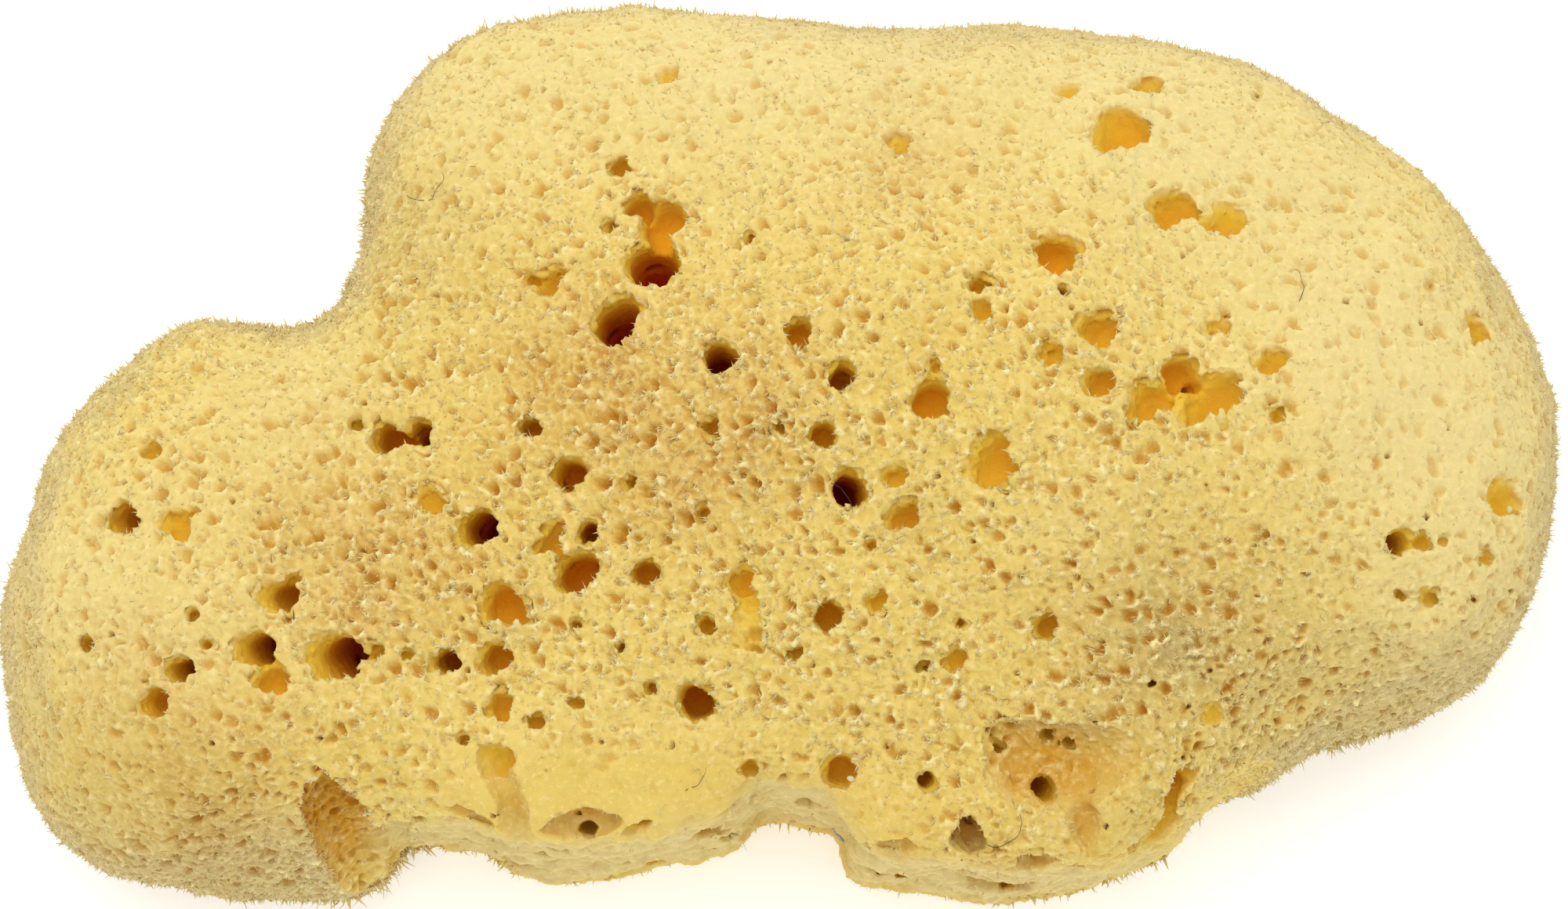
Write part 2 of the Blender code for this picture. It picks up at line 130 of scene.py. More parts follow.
# Oscula on the sight plane: u, v, width of the mouth and depth, in millimetres.
OSCULA = [
    (-11.8, 17.1, 4.9, DEEP), (-15.0, 12.1, 4.4, DEEP), (-5.6, 8.8, 3.2, DEEP),
    (1.6, 11.1, 2.7, CUP), (5.6, 7.1, 2.5, MIDDLE), (13.7, 4.8, 3.6, CUP),
    (3.7, 1.8, 2.3, CUP), (6.1, -3.2, 3.1, DEEP), (10.0, -2.1, 2.2, DISH),
    (11.1, -6.1, 2.8, SHALLOW), (19.4, -0.4, 4.2, SHALLOW), (25.4, 18.2, 4.0, CUP),
    (28.6, 11.6, 3.4, SHALLOW), (29.1, 6.6, 2.7, SHALLOW), (24.6, 9.3, 2.0, DISH),
    (18.0, 15.5, 2.0, SHALLOW), (18.0, 13.4, 2.0, DISH), (31.2, 30.0, 4.7, SHALLOW),
    (35.4, 22.3, 3.7, SHALLOW), (40.4, 21.4, 4.0, DISH), (33.2, 33.9, 3.0, DISH),
    (25.9, 33.4, 2.2, GRAZE), (10.6, 28.6, 2.4, GRAZE), (-10.6, 34.8, 2.0, GRAZE),
    (-15.1, 26.4, 1.8, SHALLOW), (-13.2, 22.7, 2.6, CUP), (-10.7, 21.1, 4.3, CUP),
    (-21.4, 15.7, 3.0, SHALLOW), (-23.0, 2.3, 2.2, CUP), (-36.1, 1.4, 3.1, MIDDLE),
    (-33.2, 1.9, 2.6, DEEP), (-39.1, 2.9, 1.7, DISH), (-19.4, -1.8, 2.9, MIDDLE),
    (-27.7, -6.8, 3.3, DEEP), (-32.3, -4.3, 2.4, DISH), (-21.3, -7.9, 3.2, SHALLOW),
    (-17.7, -7.3, 2.1, MIDDLE), (-18.7, -11.2, 3.8, MIDDLE), (-12.5, -11.1, 2.5, CUP),
    (-3.9, -11.6, 2.3, SHALLOW), (-7.0, -15.7, 1.7, SHALLOW), (-25.4, -13.9, 3.6, CUP),
    (-7.9, -22.9, 3.2, MIDDLE), (-30.7, -19.1, 2.5, MIDDLE), (-26.1, -18.9, 2.9, CUP),
    (-25.9, -22.9, 2.6, SHALLOW), (-40.6, -18.7, 4.2, DEEP), (-48.2, -17.9, 3.1, DEEP),
    (-46.6, -20.6, 3.0, SHALLOW), (-37.0, -18.1, 1.8, DISH), (-45.9, -13.2, 2.7, MIDDLE),
    (-55.1, -19.9, 2.4, DEEP), (-57.5, -22.9, 2.6, CUP), (-63.7, -17.5, 1.7, SHALLOW),
    (-60.4, -5.9, 3.0, MIDDLE), (-55.4, -5.9, 3.5, DISH), (-57.9, 0.4, 2.4, DISH),
    (4.3, -15.0, 2.8, CUP), (8.4, -13.4, 2.0, DISH), (15.9, -18.9, 2.1, DISH),
    (24.1, -15.7, 2.3, SHALLOW), (5.6, -29.3, 3.0, CUP), (13.1, -29.9, 1.7, CUP),
    (23.8, -30.7, 2.4, MIDDLE), (36.6, 7.3, 3.2, CUP), (39.3, 5.7, 6.0, SHALLOW),
    (33.4, 4.6, 3.6, SHALLOW), (44.6, 8.6, 3.2, DISH), (39.6, 11.8, 2.5, GRAZE),
    (56.4, -8.2, 2.2, DEEP), (58.2, -8.1, 1.8, DISH), (63.6, 11.4, 3.0, DISH),
    (66.1, -4.3, 3.2, DISH), (58.9, -13.2, 1.7, GRAZE), (36.4, -30.0, 1.7, CUP),
    (39.3, -23.9, 2.2, GRAZE), (-6.8, 2.5, 2.0, SHALLOW),
    (-25.7, -28.2, 2.8, GRAZE),
]

# Small openings between the oscula: u, v, width and depth on the sight plane, in millimetres.
SMALL_OPENINGS = [
    (-7.5, -5.4, 1.5, 2.0), (-3.2, 19.8, 1.2, 2.4), (-0.5, 2.5, 1.3, 2.2), (13.7, 8.1, 1.1, 2.0),
    (-14.8, -17.7, 0.9, 2.6), (-18.9, -15.7, 1.2, 2.2), (-12.0, -21.4, 1.2, 2.4),
    (-3.2, -28.9, 1.5, 2.4), (1.1, -18.4, 1.5, 2.2), (12.9, -19.6, 1.0, 2.2),
    (7.9, -8.4, 1.1, 2.0), (-13.9, -2.5, 1.5, 2.6), (-29.3, -26.1, 1.3, 2.0),
    (-18.9, -22.7, 1.2, 2.0), (-22.6, -24.4, 1.6, 2.4), (-53.9, -14.6, 1.4, 2.2),
    (16.1, -15.4, 1.1, 2.0), (38.4, 6.4, 1.2, 8.0), (56.3, -13.0, 1.2, 1.8), (60.2, -7.9, 1.1, 1.2),
    (63.1, -13.4, 1.0, 1.6), (64.3, -9.3, 1.6, 1.4), (33.6, -20.9, 1.0, 3.0),
    (45.0, 3.6, 1.4, 1.8), (19.7, -26.9, 1.3, 2.4),
    (24.0, -25.7, 1.2, 2.4), (26.1, -26.4, 1.0, 2.4), (-18.0, -34.3, 1.7, 4.5),
    (-5.2, -34.8, 1.5, 4.0), (10.9, -38.4, 1.7, 4.0), (20.6, -39.0, 1.6, 4.0), (-15.7, 21.1, 1.5, 2.2), (-23.2, 16.1, 1.4, 2.4),
    (-20.1, -10.1, 1.4, 2.4), (-23.7, -15.4, 1.0, 3.2), (-44.6, -11.4, 1.4, 2.2),
    (25.7, 14.9, 1.1, 3.4), (-34.4, -18.2, 1.3, 1.8), (-52.6, -17.4, 1.1, 1.8),
]

# Channels laid open lengthwise: places (x, y, z) along each and its width there, in millimetres.
OPEN_CHANNELS = [
    [
        (-41.4, -29.6, 28.4, 4.8), (-40.4, -31.2, 25.6, 8.2), (-38.7, -33.9, 20.8, 9.0),
        (-36.7, -38.2, 13.5, 8.6), (-35.2, -43.0, 7.0, 8.0),
    ],
    [
        (-25.4, -29.6, 32.2, 2.0), (-25.0, -31.4, 31.0, 3.0), (-24.0, -33.4, 29.6, 2.6),
        (-23.4, -36.0, 26.6, 3.0), (-23.9, -39.0, 22.6, 2.4),
    ],
    [
        (17.4, -29.6, 32.8, 5.6), (20.0, -29.8, 31.8, 7.8), (26.0, -30.4, 31.8, 8.0),
        (31.0, -29.8, 33.0, 5.5), (34.0, -29.5, 33.8, 3.0),
    ],
]

# Channels that the knife only grazed, as long shallow hollows of the cut wall: u, v, width, height
# and depth on the sight plane, in millimetres.
WALL_HOLLOWS = [
    (-18.5, -34.3, 7.0, 2.0, 1.6), (-20.2, -36.0, 4.0, 1.7, 1.3), (-5.4, -34.6, 4.6, 2.4, 2.0),
    (-25.0, -37.2, 4.0, 1.6, 1.0), (-14.0, -37.0, 4.0, 1.4, 0.9), (10.6, -38.2, 6.6, 2.6, 1.8),
    (19.8, -39.2, 7.4, 3.2, 2.0), (16.9, -35.3, 3.6, 2.2, 2.4), (10.6, -35.9, 4.0, 1.4, 0.9),
    (22.8, -37.4, 4.0, 2.4, 1.4), (27.4, -33.2, 2.6, 5.2, 1.2), (32.4, -35.8, 2.4, 1.4, 0.9),
    (2.2, -31.8, 3.0, 1.6, 1.2), (-29.0, -33.0, 5.0, 1.6, 0.9),
]

# Channels that open in the base: x, y, width and depth, in millimetres.
BASE_CHANNELS = [
    (-52, -17, 5.0, 9), (-60, -24, 3.0, 6), (-38, -6, 4.0, 8), (-24, 18, 5.5, 10),
    (-12, -20, 4.5, 9), (16, 22, 4.0, 8), (22, -14, 6.0, 11), (38, 12, 4.5, 9),
    (52, -6, 3.5, 7), (-20, -4, 3.0, 6),
]
BASE_CHANNEL_LEAN = 0.2

# The mouth of an osculum: depth of each section as a share of the whole depth or in millimetres,
# its width as a share, and how far it is shifted towards the worn side, as a share of its radius.
MOUTH_SECTIONS = [(-3.0, 1.42, 0.32), (-0.7, 1.30, 0.28), (0.3, 1.14, 0.18), (1.1, 1.02, 0.08), (2.0, 0.94, 0.02)]
THROAT_SECTIONS = [(0.45, 0.92), (0.78, 0.80), (0.94, 0.55), (1.0, 0.22)]
BOWL_SECTIONS = [(0.35, 0.98, 0.15), (0.65, 0.86, 0.34), (0.88, 0.58, 0.48), (1.0, 0.22, 0.55)]
MOUTH_SIDES = 40
WORN_SIDE = math.radians(135)
RIM_TEETH = 0.5


def curve_point(before, start, end, after, along):
    """Point of a Catmull-Rom span between start and end."""
    square, cube = along * along, along**3
    return (
        start * 2
        + (end - before) * along
        + (before * 2 - start * 5 + end * 4 - after) * square
        + (start * 3 - before - end * 3 + after) * cube
    ) / 2


def smooth_loop(points):
    """The closed curve through points of the drawing, as places in metres."""
    corners = [Vector(point) * MM for point in points]
    count = len(corners)
    loop = []
    for index in range(count):
        span = [corners[(index + shift) % count] for shift in (-1, 0, 1, 2)]
        for step in range(OUTLINE_STEPS):
            loop.append(curve_point(*span, step / OUTLINE_STEPS))
    return loop


def only(piece):
    """Deselect everything else and make this piece the active one."""
    bpy.ops.object.select_all(action="DESELECT")
    piece.select_set(True)
    bpy.context.view_layer.objects.active = piece


def apply_modifier(piece, kind, **settings):
    """Shape a piece by one modifier."""
    only(piece)
    modifier = piece.modifiers.new(kind.lower(), kind)
    for name, value in settings.items():
        setattr(modifier, name, value)
    bpy.ops.object.modifier_apply(modifier=modifier.name)


def face_outwards(piece):
    """Turn every face of a closed piece outwards."""
    only(piece)
    bpy.ops.object.mode_set(mode="EDIT")
    bpy.ops.mesh.select_all(action="SELECT")
    bpy.ops.mesh.normals_make_consistent(inside=False)
    bpy.ops.object.mode_set(mode="OBJECT")


def closed_tube(name, rings):
    """A piece skinned through rings of equally many points and closed at both ends."""
    sides = len(rings[0])
    faces = [tuple(range(sides))[::-1]]
    for near in range(len(rings) - 1):
        for side in range(sides):
            following = (side + 1) % sides
            start, end = near * sides, (near + 1) * sides
            faces.append((start + side, start + following, end + following, end + side))
    last = (len(rings) - 1) * sides
    faces.append(tuple(range(last, last + sides)))
    mesh = bpy.data.meshes.new(name)
    mesh.from_pydata([point for ring in rings for point in ring], [], faces)
    piece = bpy.data.objects.new(name, mesh)
    bpy.context.collection.objects.link(piece)
    return piece


def surface_height(x, y):
    """Height of the upper surface over the base at a place of the drawing."""
    height = EDGE_HEIGHT
    for centre_x, centre_y, reach_x, reach_y, rise in SWELLINGS:
        across = (x / MM - centre_x) / reach_x
        along = (y / MM - centre_y) / reach_y
        height += rise * MM * math.exp(-across * across - along * along)
    return height


def rounding(level):
    """How far the skin stands back from the widest outline at a level from 0 to 1."""
    if level > WIDEST_LEVEL:
        part = (level - WIDEST_LEVEL) / (1 - WIDEST_LEVEL)
        return TOP_EDGE_RADIUS * (1 - math.sqrt(max(0.0, 1 - part * part)))
    part = (WIDEST_LEVEL - level) / WIDEST_LEVEL
    return BASE_EDGE_RADIUS * (1 - math.sqrt(max(0.0, 1 - part * part)))


def outline_slab(outline):
    """An upright slab over the outline, drawn out of a flat disc."""
    bpy.ops.object.select_all(action="DESELECT")
    bpy.ops.mesh.primitive_circle_add(vertices=len(outline), radius=50 * MM, fill_type="NGON")
    slab = bpy.context.object
    slab.name = "sponge_body"
    for vertex, point in zip(slab.data.vertices, outline):
        vertex.co = (point.x, point.y, 0)
    bpy.ops.object.mode_set(mode="EDIT")
    bpy.ops.mesh.select_all(action="SELECT")
    bpy.ops.mesh.extrude_region_move(TRANSFORM_OT_translate={"value": (0, 0, CROWN_HEIGHT)})
    bpy.ops.object.mode_set(mode="OBJECT")
    face_outwards(slab)
    return slab


def outline_walls(outline):
    """A search tree of the upright walls over the widest outline."""
    low = [Vector((point.x, point.y, -1)) for point in outline]
    high = [Vector((point.x, point.y, 1)) for point in outline]
    count = len(outline)
    quads = []
    for corner in range(count):
        following = (corner + 1) % count
        quads.append((corner, following, count + following, count + corner))
    return BVHTree.FromPolygons(low + high, quads)


def round_off(body, outline):
    """Round the edges of the slab and raise the swellings of its upper surface."""
    walls = outline_walls(outline)
    for vertex in body.data.vertices:
        place = Vector((vertex.co.x, vertex.co.y, 0))
        level = min(1.0, max(0.0, vertex.co.z / CROWN_HEIGHT))
        nearest, inwards, _, distance = walls.find_nearest(place)
        if distance > SLAB_VOXEL and inwards.dot(place - nearest) > 0:
            inwards = (place - nearest).normalized()
        fade = max(0.0, 1 - distance / ROUNDING_REACH) ** 2
        place += inwards * rounding(level) * fade
        place.z = level * surface_height(place.x, place.y)
        vertex.co = place
    apply_modifier(body, "SMOOTH", factor=0.5, iterations=SMOOTHING_ROUNDS)


def raise_lumps(body):
    """Push the surface in and out along its normals in soft lumps of two sizes."""
    for vertex, normal in zip(body.data.vertices, [v.normal.copy() for v in body.data.vertices]):
        rise = 0.0
        for spacing, height in (BROAD_LUMPS, SMALL_LUMPS):
            rise += noise.noise(vertex.co / spacing) * height
        vertex.co += normal * rise


def cut_level(body):
    """Cut the foot off level, so that the sponge rests on a flat face."""
    body.data.transform(Matrix.Translation((0, 0, -BASE_TRIM)))
    only(body)
    bpy.ops.object.mode_set(mode="EDIT")
    bpy.ops.mesh.select_all(action="SELECT")
    bpy.ops.mesh.bisect(plane_co=(0, 0, 0), plane_no=(0, 0, 1), clear_inner=True, use_fill=True)
    bpy.ops.object.mode_set(mode="OBJECT")


def knife_block():
    """The block in front of the cut wall, whose back wanders as a knife does."""
    rings = []
    for level in KNIFE_LEVELS:
        ring = []
        for x, y in CUT_WALL + CUT_AWAY:
            corner = Vector((x, y, level)) * MM
            ring.append(corner + noise.noise_vector(corner / KNIFE_WANDER_REACH) * KNIFE_WANDER)
        rings.append(ring)
    block = closed_tube("knife_block", rings)
    face_outwards(block)
    return block


def cut(body, cutter):
    """Cut one closed piece out of the body and delete it."""
    apply_modifier(body, "BOOLEAN", operation="DIFFERENCE", solver="MANIFOLD", object=cutter)
    bpy.data.objects.remove(cutter)


def grown_body():
    """The whole sponge with its flat base and its knife-cut wall, before any channel."""
    outline = smooth_loop(OUTLINE)
    body = outline_slab(outline)
    apply_modifier(body, "REMESH", mode="VOXEL", voxel_size=SLAB_VOXEL)
    round_off(body, outline)
    raise_lumps(body)
    apply_modifier(body, "REMESH", mode="VOXEL", voxel_size=SLAB_VOXEL / 2)
    cut_level(body)
    apply_modifier(body, "TRIANGULATE")
    uncut = BVHTree.FromObject(body, bpy.context.evaluated_depsgraph_get())
    cut(body, knife_block())
    return body, uncut


def on_sight_plane(u, v, w=0.0):
    """Place in the drawing of a point of the sight plane, or of one w in front of it."""
    up = Vector((0, math.cos(SIGHT_TILT), math.sin(SIGHT_TILT)))
    towards_eye = Vector((0, -math.sin(SIGHT_TILT), math.cos(SIGHT_TILT)))
    return Vector((u, 0, SIGHT_LEVEL)) + up * v + towards_eye * w


def seen_point(tree, u, v):
    """Where the sight line through (u, v) meets the surface, the normal there and the line."""
    eye = on_sight_plane(0, 0, SIGHT_DISTANCE)
    sight = (on_sight_plane(u, v) - eye).normalized()
    place, normal, _, _ = tree.ray_cast(eye, sight)
    return place, normal, sight


def section(centre, inwards, radius, shift, teeth, seed, unevenness=0.28):
    """One uneven ring of a channel. The worn side is smooth and the other may have teeth."""
    right = Vector((1, 0, 0))
    right = (right - inwards * right.dot(inwards)).normalized()
    up = right.cross(inwards)
    worn = right * math.cos(WORN_SIDE) + up * math.sin(WORN_SIDE)
    ring = []
    for side in range(MOUTH_SIDES):
        angle = math.tau * side / MOUTH_SIDES
        spoke = right * math.cos(angle) + up * math.sin(angle)
        uneven = noise.noise(Vector((math.cos(angle) * 0.9, math.sin(angle) * 0.9, seed)))
        ragged = noise.noise(Vector((math.cos(angle) * 4.5, math.sin(angle) * 4.5, seed + 7)))
        side_share = max(0.0, -spoke.dot(worn)) ** 0.5
        reach = radius * (1 + unevenness * uneven) - teeth * side_share * (0.4 + ragged)
        ring.append(centre + worn * shift + spoke * max(reach, 0.1 * MM))
    return ring


def osculum(name, mouth, inwards, width, depth, seed):
    """The hollow of one osculum: a worn funnel with a ragged rim, and a throat below it."""
    radius = width * MM / 2
    uneven = 0.55 if depth <= SHALLOW else 0.28
    rings = []
    for level, share, shift in MOUTH_SECTIONS:
        if level > 0.3 * depth:
            continue
        centre = mouth + inwards * level * MM
        teeth = RIM_TEETH * radius if level < 1 else 0.0
        rings.append(section(centre, inwards, radius * share, radius * shift, teeth, seed, uneven))
    if depth <= SHALLOW:
        for part, share, shift in BOWL_SECTIONS:
            centre = mouth + inwards * part * depth * MM
            rings.append(section(centre, inwards, radius * share, -radius * shift, 0.0, seed, uneven))
        return closed_tube(name, rings)
    for part, share in THROAT_SECTIONS:
        centre = mouth + inwards * part * depth * MM
        rings.append(section(centre, inwards, radius * share, 0.0, 0.0, seed + part))
    return closed_tube(name, rings)


def side_channel(name, start, direction, width, length, seed):
    """A narrow channel that opens into a larger one."""
    rings = []
    for part, share in ((0.0, 1.0), (0.5, 0.95), (0.85, 0.7), (1.0, 0.25)):
        centre = start + direction * length * MM * part
        rings.append(section(centre, direction, width * MM / 2 * share, 0.0, 0.0, seed + part))
    return closed_tube(name, rings)


def osculum_hollows(tree, draw):
    """All the oscula, with the narrower channels that open into the wide ones."""
    root = on_sight_plane(*CHANNEL_ROOT)
    hollows = []
    for index, (u, v, width, depth) in enumerate(OSCULA + SMALL_OPENINGS):
        mouth, normal, sight = seen_point(tree, u * MM, v * MM)
        inwards = (root - mouth).normalized()
        if depth <= SHALLOW:
            inwards = (sight - normal).normalized()
        seed = index * 3.7
        hollows.append(osculum(f"osculum_{index}", mouth, inwards, width, depth, seed))
        if width < 2.2 or depth < MIDDLE:
            continue
        branches = 1 if width < 3.0 else 2 if width < 4.0 else 3
        for branch in range(branches):
            angle = draw.uniform(0, math.tau)
            sideways = inwards.orthogonal().normalized()
            sideways.rotate(Matrix.Rotation(angle, 3, inwards))
            start = mouth + inwards * depth * MM * draw.uniform(0.45, 0.8)
            start += sideways * width * MM * 0.25
            direction = (inwards + sideways * draw.uniform(0.35, 0.9)).normalized()
            hollows.append(
                side_channel(
                    f"branch_{index}_{branch}", start, direction,
                    width * draw.uniform(0.24, 0.38), draw.uniform(3.0, 5.0), seed + branch,
                )
            )
    return hollows


def open_channels():
    """Channels that the cut wall laid open along their length."""
    hollows = []
    for index, places in enumerate(OPEN_CHANNELS):
        rings = []
        first, last = Vector(places[0][:3]), Vector(places[-1][:3])
        direction = (last - first).normalized()
        for place in places:
            centre, radius = Vector(place[:3]) * MM, place[3] * MM / 2
            rings.append(section(centre, direction, radius * 1.04, 0.0, 0.0, index * 5.3))
        hollows.append(closed_tube(f"open_channel_{index}", rings))
    return hollows


def wall_hollows(walled):
    """Long shallow hollows of the cut wall, as flattened balls sunk into it."""
    hollows = []
    for index, (u, v, width, height, depth) in enumerate(WALL_HOLLOWS):
        place, normal, _ = seen_point(walled, u * MM, v * MM)
        if place is None:
            continue
        bpy.ops.object.select_all(action="DESELECT")
        bpy.ops.mesh.primitive_uv_sphere_add(segments=32, ring_count=20, radius=1)
        ball = bpy.context.object
        ball.name = f"wall_hollow_{index}"
        size = Matrix.Diagonal((width / 2 * MM, height * 0.9 * MM, 2.0 * depth * MM, 1))
        turn = normal.to_track_quat("Z", "Y").to_matrix().to_4x4()
        ball.data.transform(Matrix.Translation(place) @ turn @ size)
        for vertex in ball.data.vertices:
            vertex.co += noise.noise_vector(vertex.co / (2.6 * MM)) * 0.8 * MM
        hollows.append(ball)
    return hollows


def base_channels(draw):
    """Channels that the flat base cuts across, each leaning a little its own way."""
    hollows = []
    for index, (x, y, width, depth) in enumerate(BASE_CHANNELS):
        foot = Vector((x, y, 0)) * MM
        lean_x = draw.uniform(-BASE_CHANNEL_LEAN, BASE_CHANNEL_LEAN)
        lean_y = draw.uniform(-BASE_CHANNEL_LEAN, BASE_CHANNEL_LEAN)
        rise = Vector((lean_x, lean_y, 1)) * depth * MM
        radius = width * MM / 2
        rings = []
        for part, share in ((-0.5, 1.05), (0.0, 1.0), (0.5, 0.9), (0.9, 0.6), (1.0, 0.25)):
            rings.append(
                section(foot + rise * part, rise.normalized(), radius * share, 0.0, 0.0, index * 2.9)
            )
        hollows.append(closed_tube(f"base_channel_{index}", rings))
    return hollows


def soften_cut(body):
    """Round the skin over into the cut wall, where it has worn since."""
    apply_modifier(body, "REMESH", mode="VOXEL", voxel_size=SOFT_VOXEL)
    worn = body.vertex_groups.new(name="worn")
    for vertex in body.data.vertices:
        forward = min(1, max(0, (-vertex.co.y - 25 * MM) / (4 * MM)))
        high = min(1, max(0, (vertex.co.z - 13 * MM) / (8 * MM)))
        if forward * high > 0:
            worn.add([vertex.index], forward * high, "REPLACE")
        if vertex.co.z < SOFT_VOXEL:
            vertex.co.z = 0
    apply_modifier(body, "SMOOTH", factor=0.5, iterations=SOFT_ROUNDS, vertex_group="worn")


def side_mouths(walled, draw):
    """Channels that end low on the flanks, and those that the knife cut across."""
    hollows = []
    for index in range(WALL_MOUTHS + FLANK_MOUTHS):
        level = draw.uniform(3, 20) * MM
        if index < WALL_MOUTHS:
            start = Vector((draw.uniform(-30, 38) * MM, -80 * MM, level))
            inwards = Vector((draw.uniform(-0.25, 0.25), 1, draw.uniform(-0.25, 0.25))).normalized()
        else:
            azimuth = math.radians(draw.uniform(-15, 195))
            level = draw.uniform(4, 13) * MM
            outwards = Vector((math.cos(azimuth), math.sin(azimuth), 0))
            start = outwards * 100 * MM + Vector((0, 0, level))
            inwards = -outwards
        mouth = walled.ray_cast(start, inwards)[0]
        if mouth is None:
            continue
        width = 1.1 + 2.2 * draw.random() ** 2
        depth = width * draw.uniform(0.8, 2.6)
        hollows.append(osculum(f"side_mouth_{index}", mouth, inwards, width, depth, index * 1.9))
    return hollows


def one_hollow(hollows):
    """Join overlapping closed pieces into one closed piece."""
    bpy.ops.object.select_all(action="DESELECT")
    for piece in hollows:
        piece.select_set(True)
    bpy.context.view_layer.objects.active = hollows[0]
    bpy.ops.object.join()
    hollow = hollows[0]
    face_outwards(hollow)
    apply_modifier(hollow, "REMESH", mode="VOXEL", voxel_size=CUTTER_VOXEL)
    return hollow


# The skin's own relief. Spacings and depths are real ones of a fine bath sponge.
WIDE_PORES = (1.75 * MM, 0.20, 0.20, 1.35 * MM)
SMALL_PORES = (1.05 * MM, 0.21, 0.17, 0.80 * MM)
PORE_LEAN = 0.6
PORE_COLOUR_DEPTH = 0.95 * MM
OPEN_DEPTH = 5 * MM
STRETCH = 0.2
PINHOLE_SPACING = 2.7 * MM
PINHOLE_WIDTH = 0.11
PINHOLE_DEPTH = 1.2 * MM
LIP_REACH = 0.42 * MM
LIP_HEIGHT = 0.42 * MM
TEAR_SPACING = 3.4 * MM
TEAR_HEIGHT = 0.9 * MM
CONULE_SPACING = 1.15 * MM
CONULE_HEIGHT = 0.42 * MM
LUMP_SPACING = 2.6 * MM
LUMP_HEIGHT = 0.32 * MM
FELT_SPACING = 0.8 * MM
FELT_HEIGHT = 0.26 * MM
GRAIN_SPACING = 0.4 * MM
GRAIN_HEIGHT = 0.11 * MM
WARP_SPACING = 1.0 * MM
WARP_REACH = 0.38 * MM
PULL = Vector((math.cos(math.radians(-45)), math.sin(math.radians(-45)), 0))

# Stretches with few pores: u, v, reach and how far the pores fade there, in millimetres.
CALMS = [
    (10.0, 38.0, 16.0, 0.45), (-10.0, 38.0, 14.0, 0.4), (34.0, 34.0, 14.0, 0.45), (52.0, 22.0, 16.0, 0.4),
    (66.0, 0.0, 14.0, 0.4), (52.0, 6.0, 12.0, 0.25), (-27.0, -33.0, 6.0, 0.8), (-18.0, -32.0, 7.0, 0.8),
    (-8.0, -31.0, 6.0, 0.7), (2.0, -33.0, 5.0, 0.7), (10.0, -36.0, 6.0, 0.7), (-66.0, -10.0, 9.0, 0.25),
    (-30.0, 34.0, 12.0, 0.4), (30.0, -36.0, 8.0, 0.6), (60.0, -16.0, 12.0, 0.3),
    (-57.0, -10.0, 14.0, 0.18), (-50.0, -27.0, 13.0, 0.25), (-64.0, -30.0, 10.0, 0.35), (28.0, -6.0, 9.0, 0.15), (-45.0, 6.0, 10.0, 0.3),
]

# Torn or rubbed stretches of the outline: u, v, reach and how thick the loose fibre stands there.
FRINGES = [
    (-39.0, 21.0, 4.0, 1.0), (-39.0, 26.0, 4.0, 1.0), (-69.5, -10.5, 4.0, 0.9), (-41.0, -39.4, 2.5, 2.4),
    (-37.5, -37.6, 2.6, 3.0), (-34.5, -35.4, 2.2, 2.6), (-27.0, -36.8, 2.5, 1.2), (41.0, -29.5, 4.0, 1.0),
    (47.0, -27.0, 5.0, 1.0), (53.0, -25.0, 5.0, 0.8), (-25.0, 41.0, 6.0, 0.7), (-17.0, 42.0, 6.0, 0.7),
    (1.0, -30.0, 4.0, 0.6), (33.0, -36.0, 5.0, 0.5), (-50.0, 13.0, 6.0, 0.4), (-32.0, 38.0, 6.0, 0.5),
    (-45.0, 12.0, 5.0, 0.5), (24.0, -39.0, 6.0, 0.4),
]

# What the sea left in it: u, v and size in millimetres. A hair has its length, the way that it
# heads and how far it turns, both in degrees.
SHELL_CHIP = (5.0, -34.6, (2.1, 0.7, 0.5))
GRAINS = [
    (6.1, -29.6, 0.7), (66.2, -5.0, 0.6),
]
HAIRS = [
    (-34.2, 23.6, 5.0, -40, 150), (18.6, -35.4, 6.5, -30, 200), (4.4, -2.6, 3.4, -25, -60),
    (-9.0, -30.6, 3.0, 15, 80), (47.0, 14.0, 3.2, 60, 90),
]
HAIR_STEPS = 22
HAIR_WIDTH = 0.08 * MM

# Patches of the upper surface painted browner: stains, and painted shade in the valley at the right and in
# hollows of the cut wall: u, v, reach and strength, in millimetres.
STAIN_AND_SHADE_PATCHES = [
    (-18.6, 7.1, 9.0, 1.0), (-7.9, -1.4, 8.0, 0.8), (-40.0, -7.9, 8.0, 0.9), (-33.0, -11.0, 7.0, 0.6),
    (10.7, 27.9, 5.0, 0.5), (-54.0, -27.0, 8.0, 0.6), (-52.0, -34.0, 6.0, 0.5), (30.0, -17.0, 9.0, 0.25),
    (-2.0, 6.0, 8.0, 0.5), (24.0, -32.0, 7.0, 0.15), (-60.0, -18.0, 6.0, 0.3), (8.0, -34.0, 9.0, 0.15), (11.5, -38.4, 2.4, 0.9), (19.5, -39.0, 3.0, 0.9),
    (38.0, -16.0, 9.0, 0.2),
]


# Patches of painted shade in greyish olive, mostly in the valley at the right: u, v, reach and strength, in
# millimetres.
PAINTED_SHADE_PATCHES = [
    (34.0, -17.0, 8.0, 0.5), (43.0, -17.0, 8.0, 0.25), (36.0, -17.6, 2.2, 0.6), (-52.0, -35.0, 7.0, 0.35),
    (-61.0, -26.0, 6.0, 0.2), (29.0, -33.0, 8.0, 0.15), (27.0, -25.5, 3.0, 0.4),
    (-24.8, -14.4, 2.4, 0.5), (11.0, -5.6, 2.2, 0.4), (-35.0, 19.0, 7.0, 0.3),
]


